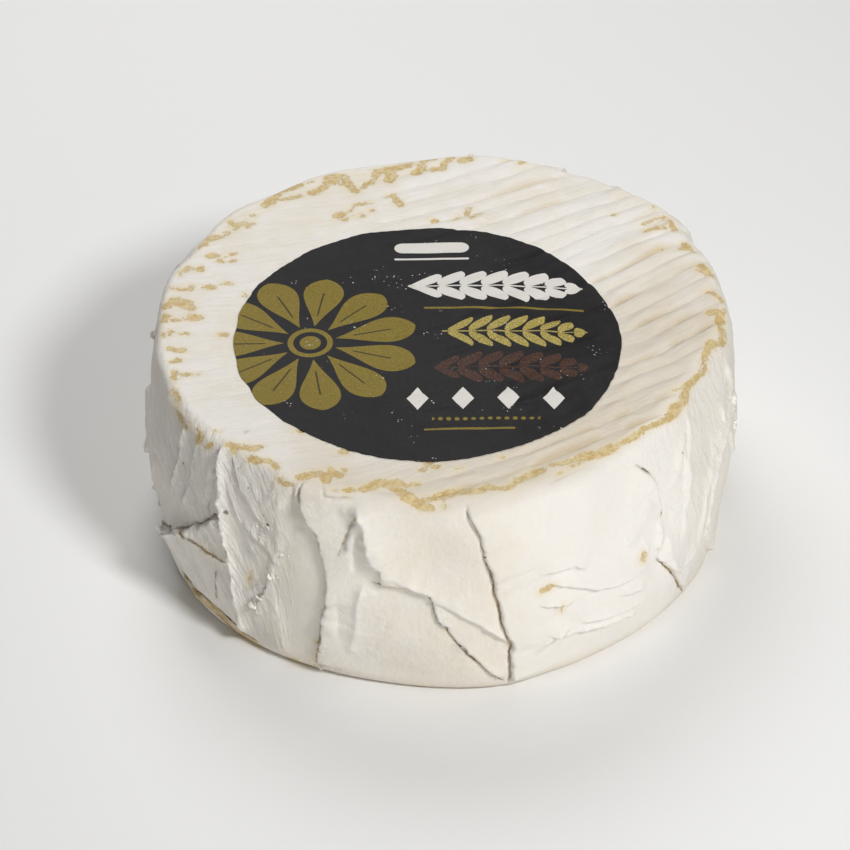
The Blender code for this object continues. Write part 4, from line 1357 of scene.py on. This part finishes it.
def make_label():
    flat_radius = LABEL_RADIUS - PAPER_EDGE
    radii = spaced(0, flat_radius, PAPER_PITCH) + [flat_radius, LABEL_RADIUS]
    profile = [(radius, PAPER_THICKNESS) for radius in radii]
    profile += [(radius, 0.0) for radius in reversed(radii)]
    mesh = turned("paper", profile, PAPER_STEPS)
    points = read_points(mesh)
    edge = smooth(np.hypot(points[:, 0], points[:, 1]) / LABEL_RADIUS * 12 - 11)
    points[:, :2] *= 1 + (swell(points, PAPER_EDGE_WANDER) * edge / LABEL_RADIUS)[:, None]
    points[:, :2] += LABEL_CENTRE
    ridges, _ = mat_relief(points[:, 0], points[:, 1])
    points[:, 2] += WHEEL_HEIGHT + PAPER_LIFT + top_height(points[:, 0], points[:, 1]) + ridges
    points[:, :2] += wheel_axis
    write_points(mesh, points)
    label = shown("printed_label", mesh)
    mesh.materials.append(label_finish())
    mesh.set_sharp_from_angle(angle=math.radians(PAPER_SHARP_ANGLE))
    return label


label = make_label()
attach(label, "root")
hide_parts("paper_label")

# The floor and light: a plain pale floor, a soft key light from the front right and above, a wide fill from
# behind, a weak one from the front that stands for the light that a pale table throws back, and pale air.
# Places are in metres.

FLOOR_SIZE = 3.0
FLOOR_WHITE = colour(249, 249, 248)
KEY_PLACE = Vector((0.44, -0.60, 0.76))
KEY_SIZE = 0.22
KEY_POWER = 6.15
FILL_PLACE = Vector((-0.12, 0.38, 0.55))
FILL_SIZE = 0.4
FILL_POWER = 1.9
BOUNCE_PLACE = Vector((0.10, -0.70, 0.10))
BOUNCE_SIZE = 0.5
BOUNCE_POWER = 0.75
AIR_BRIGHTNESS = 0.11
AIR_COLOUR = (1.0, 0.965, 0.915, 1.0)


def make_floor():
    mesh = bpy.data.meshes.new("floor")
    half = FLOOR_SIZE / 2
    corners = [(-half, -half, 0), (half, -half, 0), (half, half, 0), (-half, half, 0)]
    mesh.from_pydata(corners, [], [(0, 1, 2, 3)])
    floor = linked("floor", mesh)
    finish = Finish("pale_floor")
    finish.set(Base_Color=FLOOR_WHITE, Roughness=0.9)
    mesh.materials.append(finish.material)


def make_light(name, place, size, power):
    lamp = bpy.data.lights.new(name, "AREA")
    lamp.shape = "DISK"
    lamp.size = size
    lamp.energy = power
    light = linked(name, lamp)
    light.location = place
    light.rotation_euler = (-place).to_track_quat("-Z", "Y").to_euler()


def make_air():
    world = bpy.data.worlds.new("pale_air")
    world.use_nodes = True
    background = world.node_tree.nodes["Background"]
    background.inputs["Color"].default_value = AIR_COLOUR
    background.inputs["Strength"].default_value = AIR_BRIGHTNESS
    bpy.context.scene.world = world
    bpy.context.scene.view_settings.view_transform = "Standard"


make_floor()
make_light("key", KEY_PLACE, KEY_SIZE, KEY_POWER)
make_light("fill", FILL_PLACE, FILL_SIZE, FILL_POWER)
make_light("bounce", BOUNCE_PLACE, BOUNCE_SIZE, BOUNCE_POWER)
make_air()

# The camera: the photograph's view, from the front and 38 degrees above, with a long lens. Its distance and
# aim are in millimetres, like the lens and the sensor.

VIEW_ELEVATION = 38.04
VIEW_DISTANCE = 971.5
VIEW_LENS = 161.8
VIEW_SENSOR = 36.0
VIEW_AIM = (-4.60, 0.0, 24.60)


def make_camera():
    camera = linked("camera", bpy.data.cameras.new("camera"))
    camera.data.lens = VIEW_LENS
    camera.data.sensor_width = VIEW_SENSOR
    elevation = math.radians(VIEW_ELEVATION)
    back = Vector((0.0, -math.cos(elevation), math.sin(elevation)))
    aim = Vector((VIEW_AIM[0] + wheel_axis[0], VIEW_AIM[1] + wheel_axis[1], VIEW_AIM[2]))
    camera.location = (aim + back * VIEW_DISTANCE) * MM
    camera.rotation_euler = (-back).to_track_quat("-Z", "Y").to_euler()
    bpy.context.scene.camera = camera


make_camera()
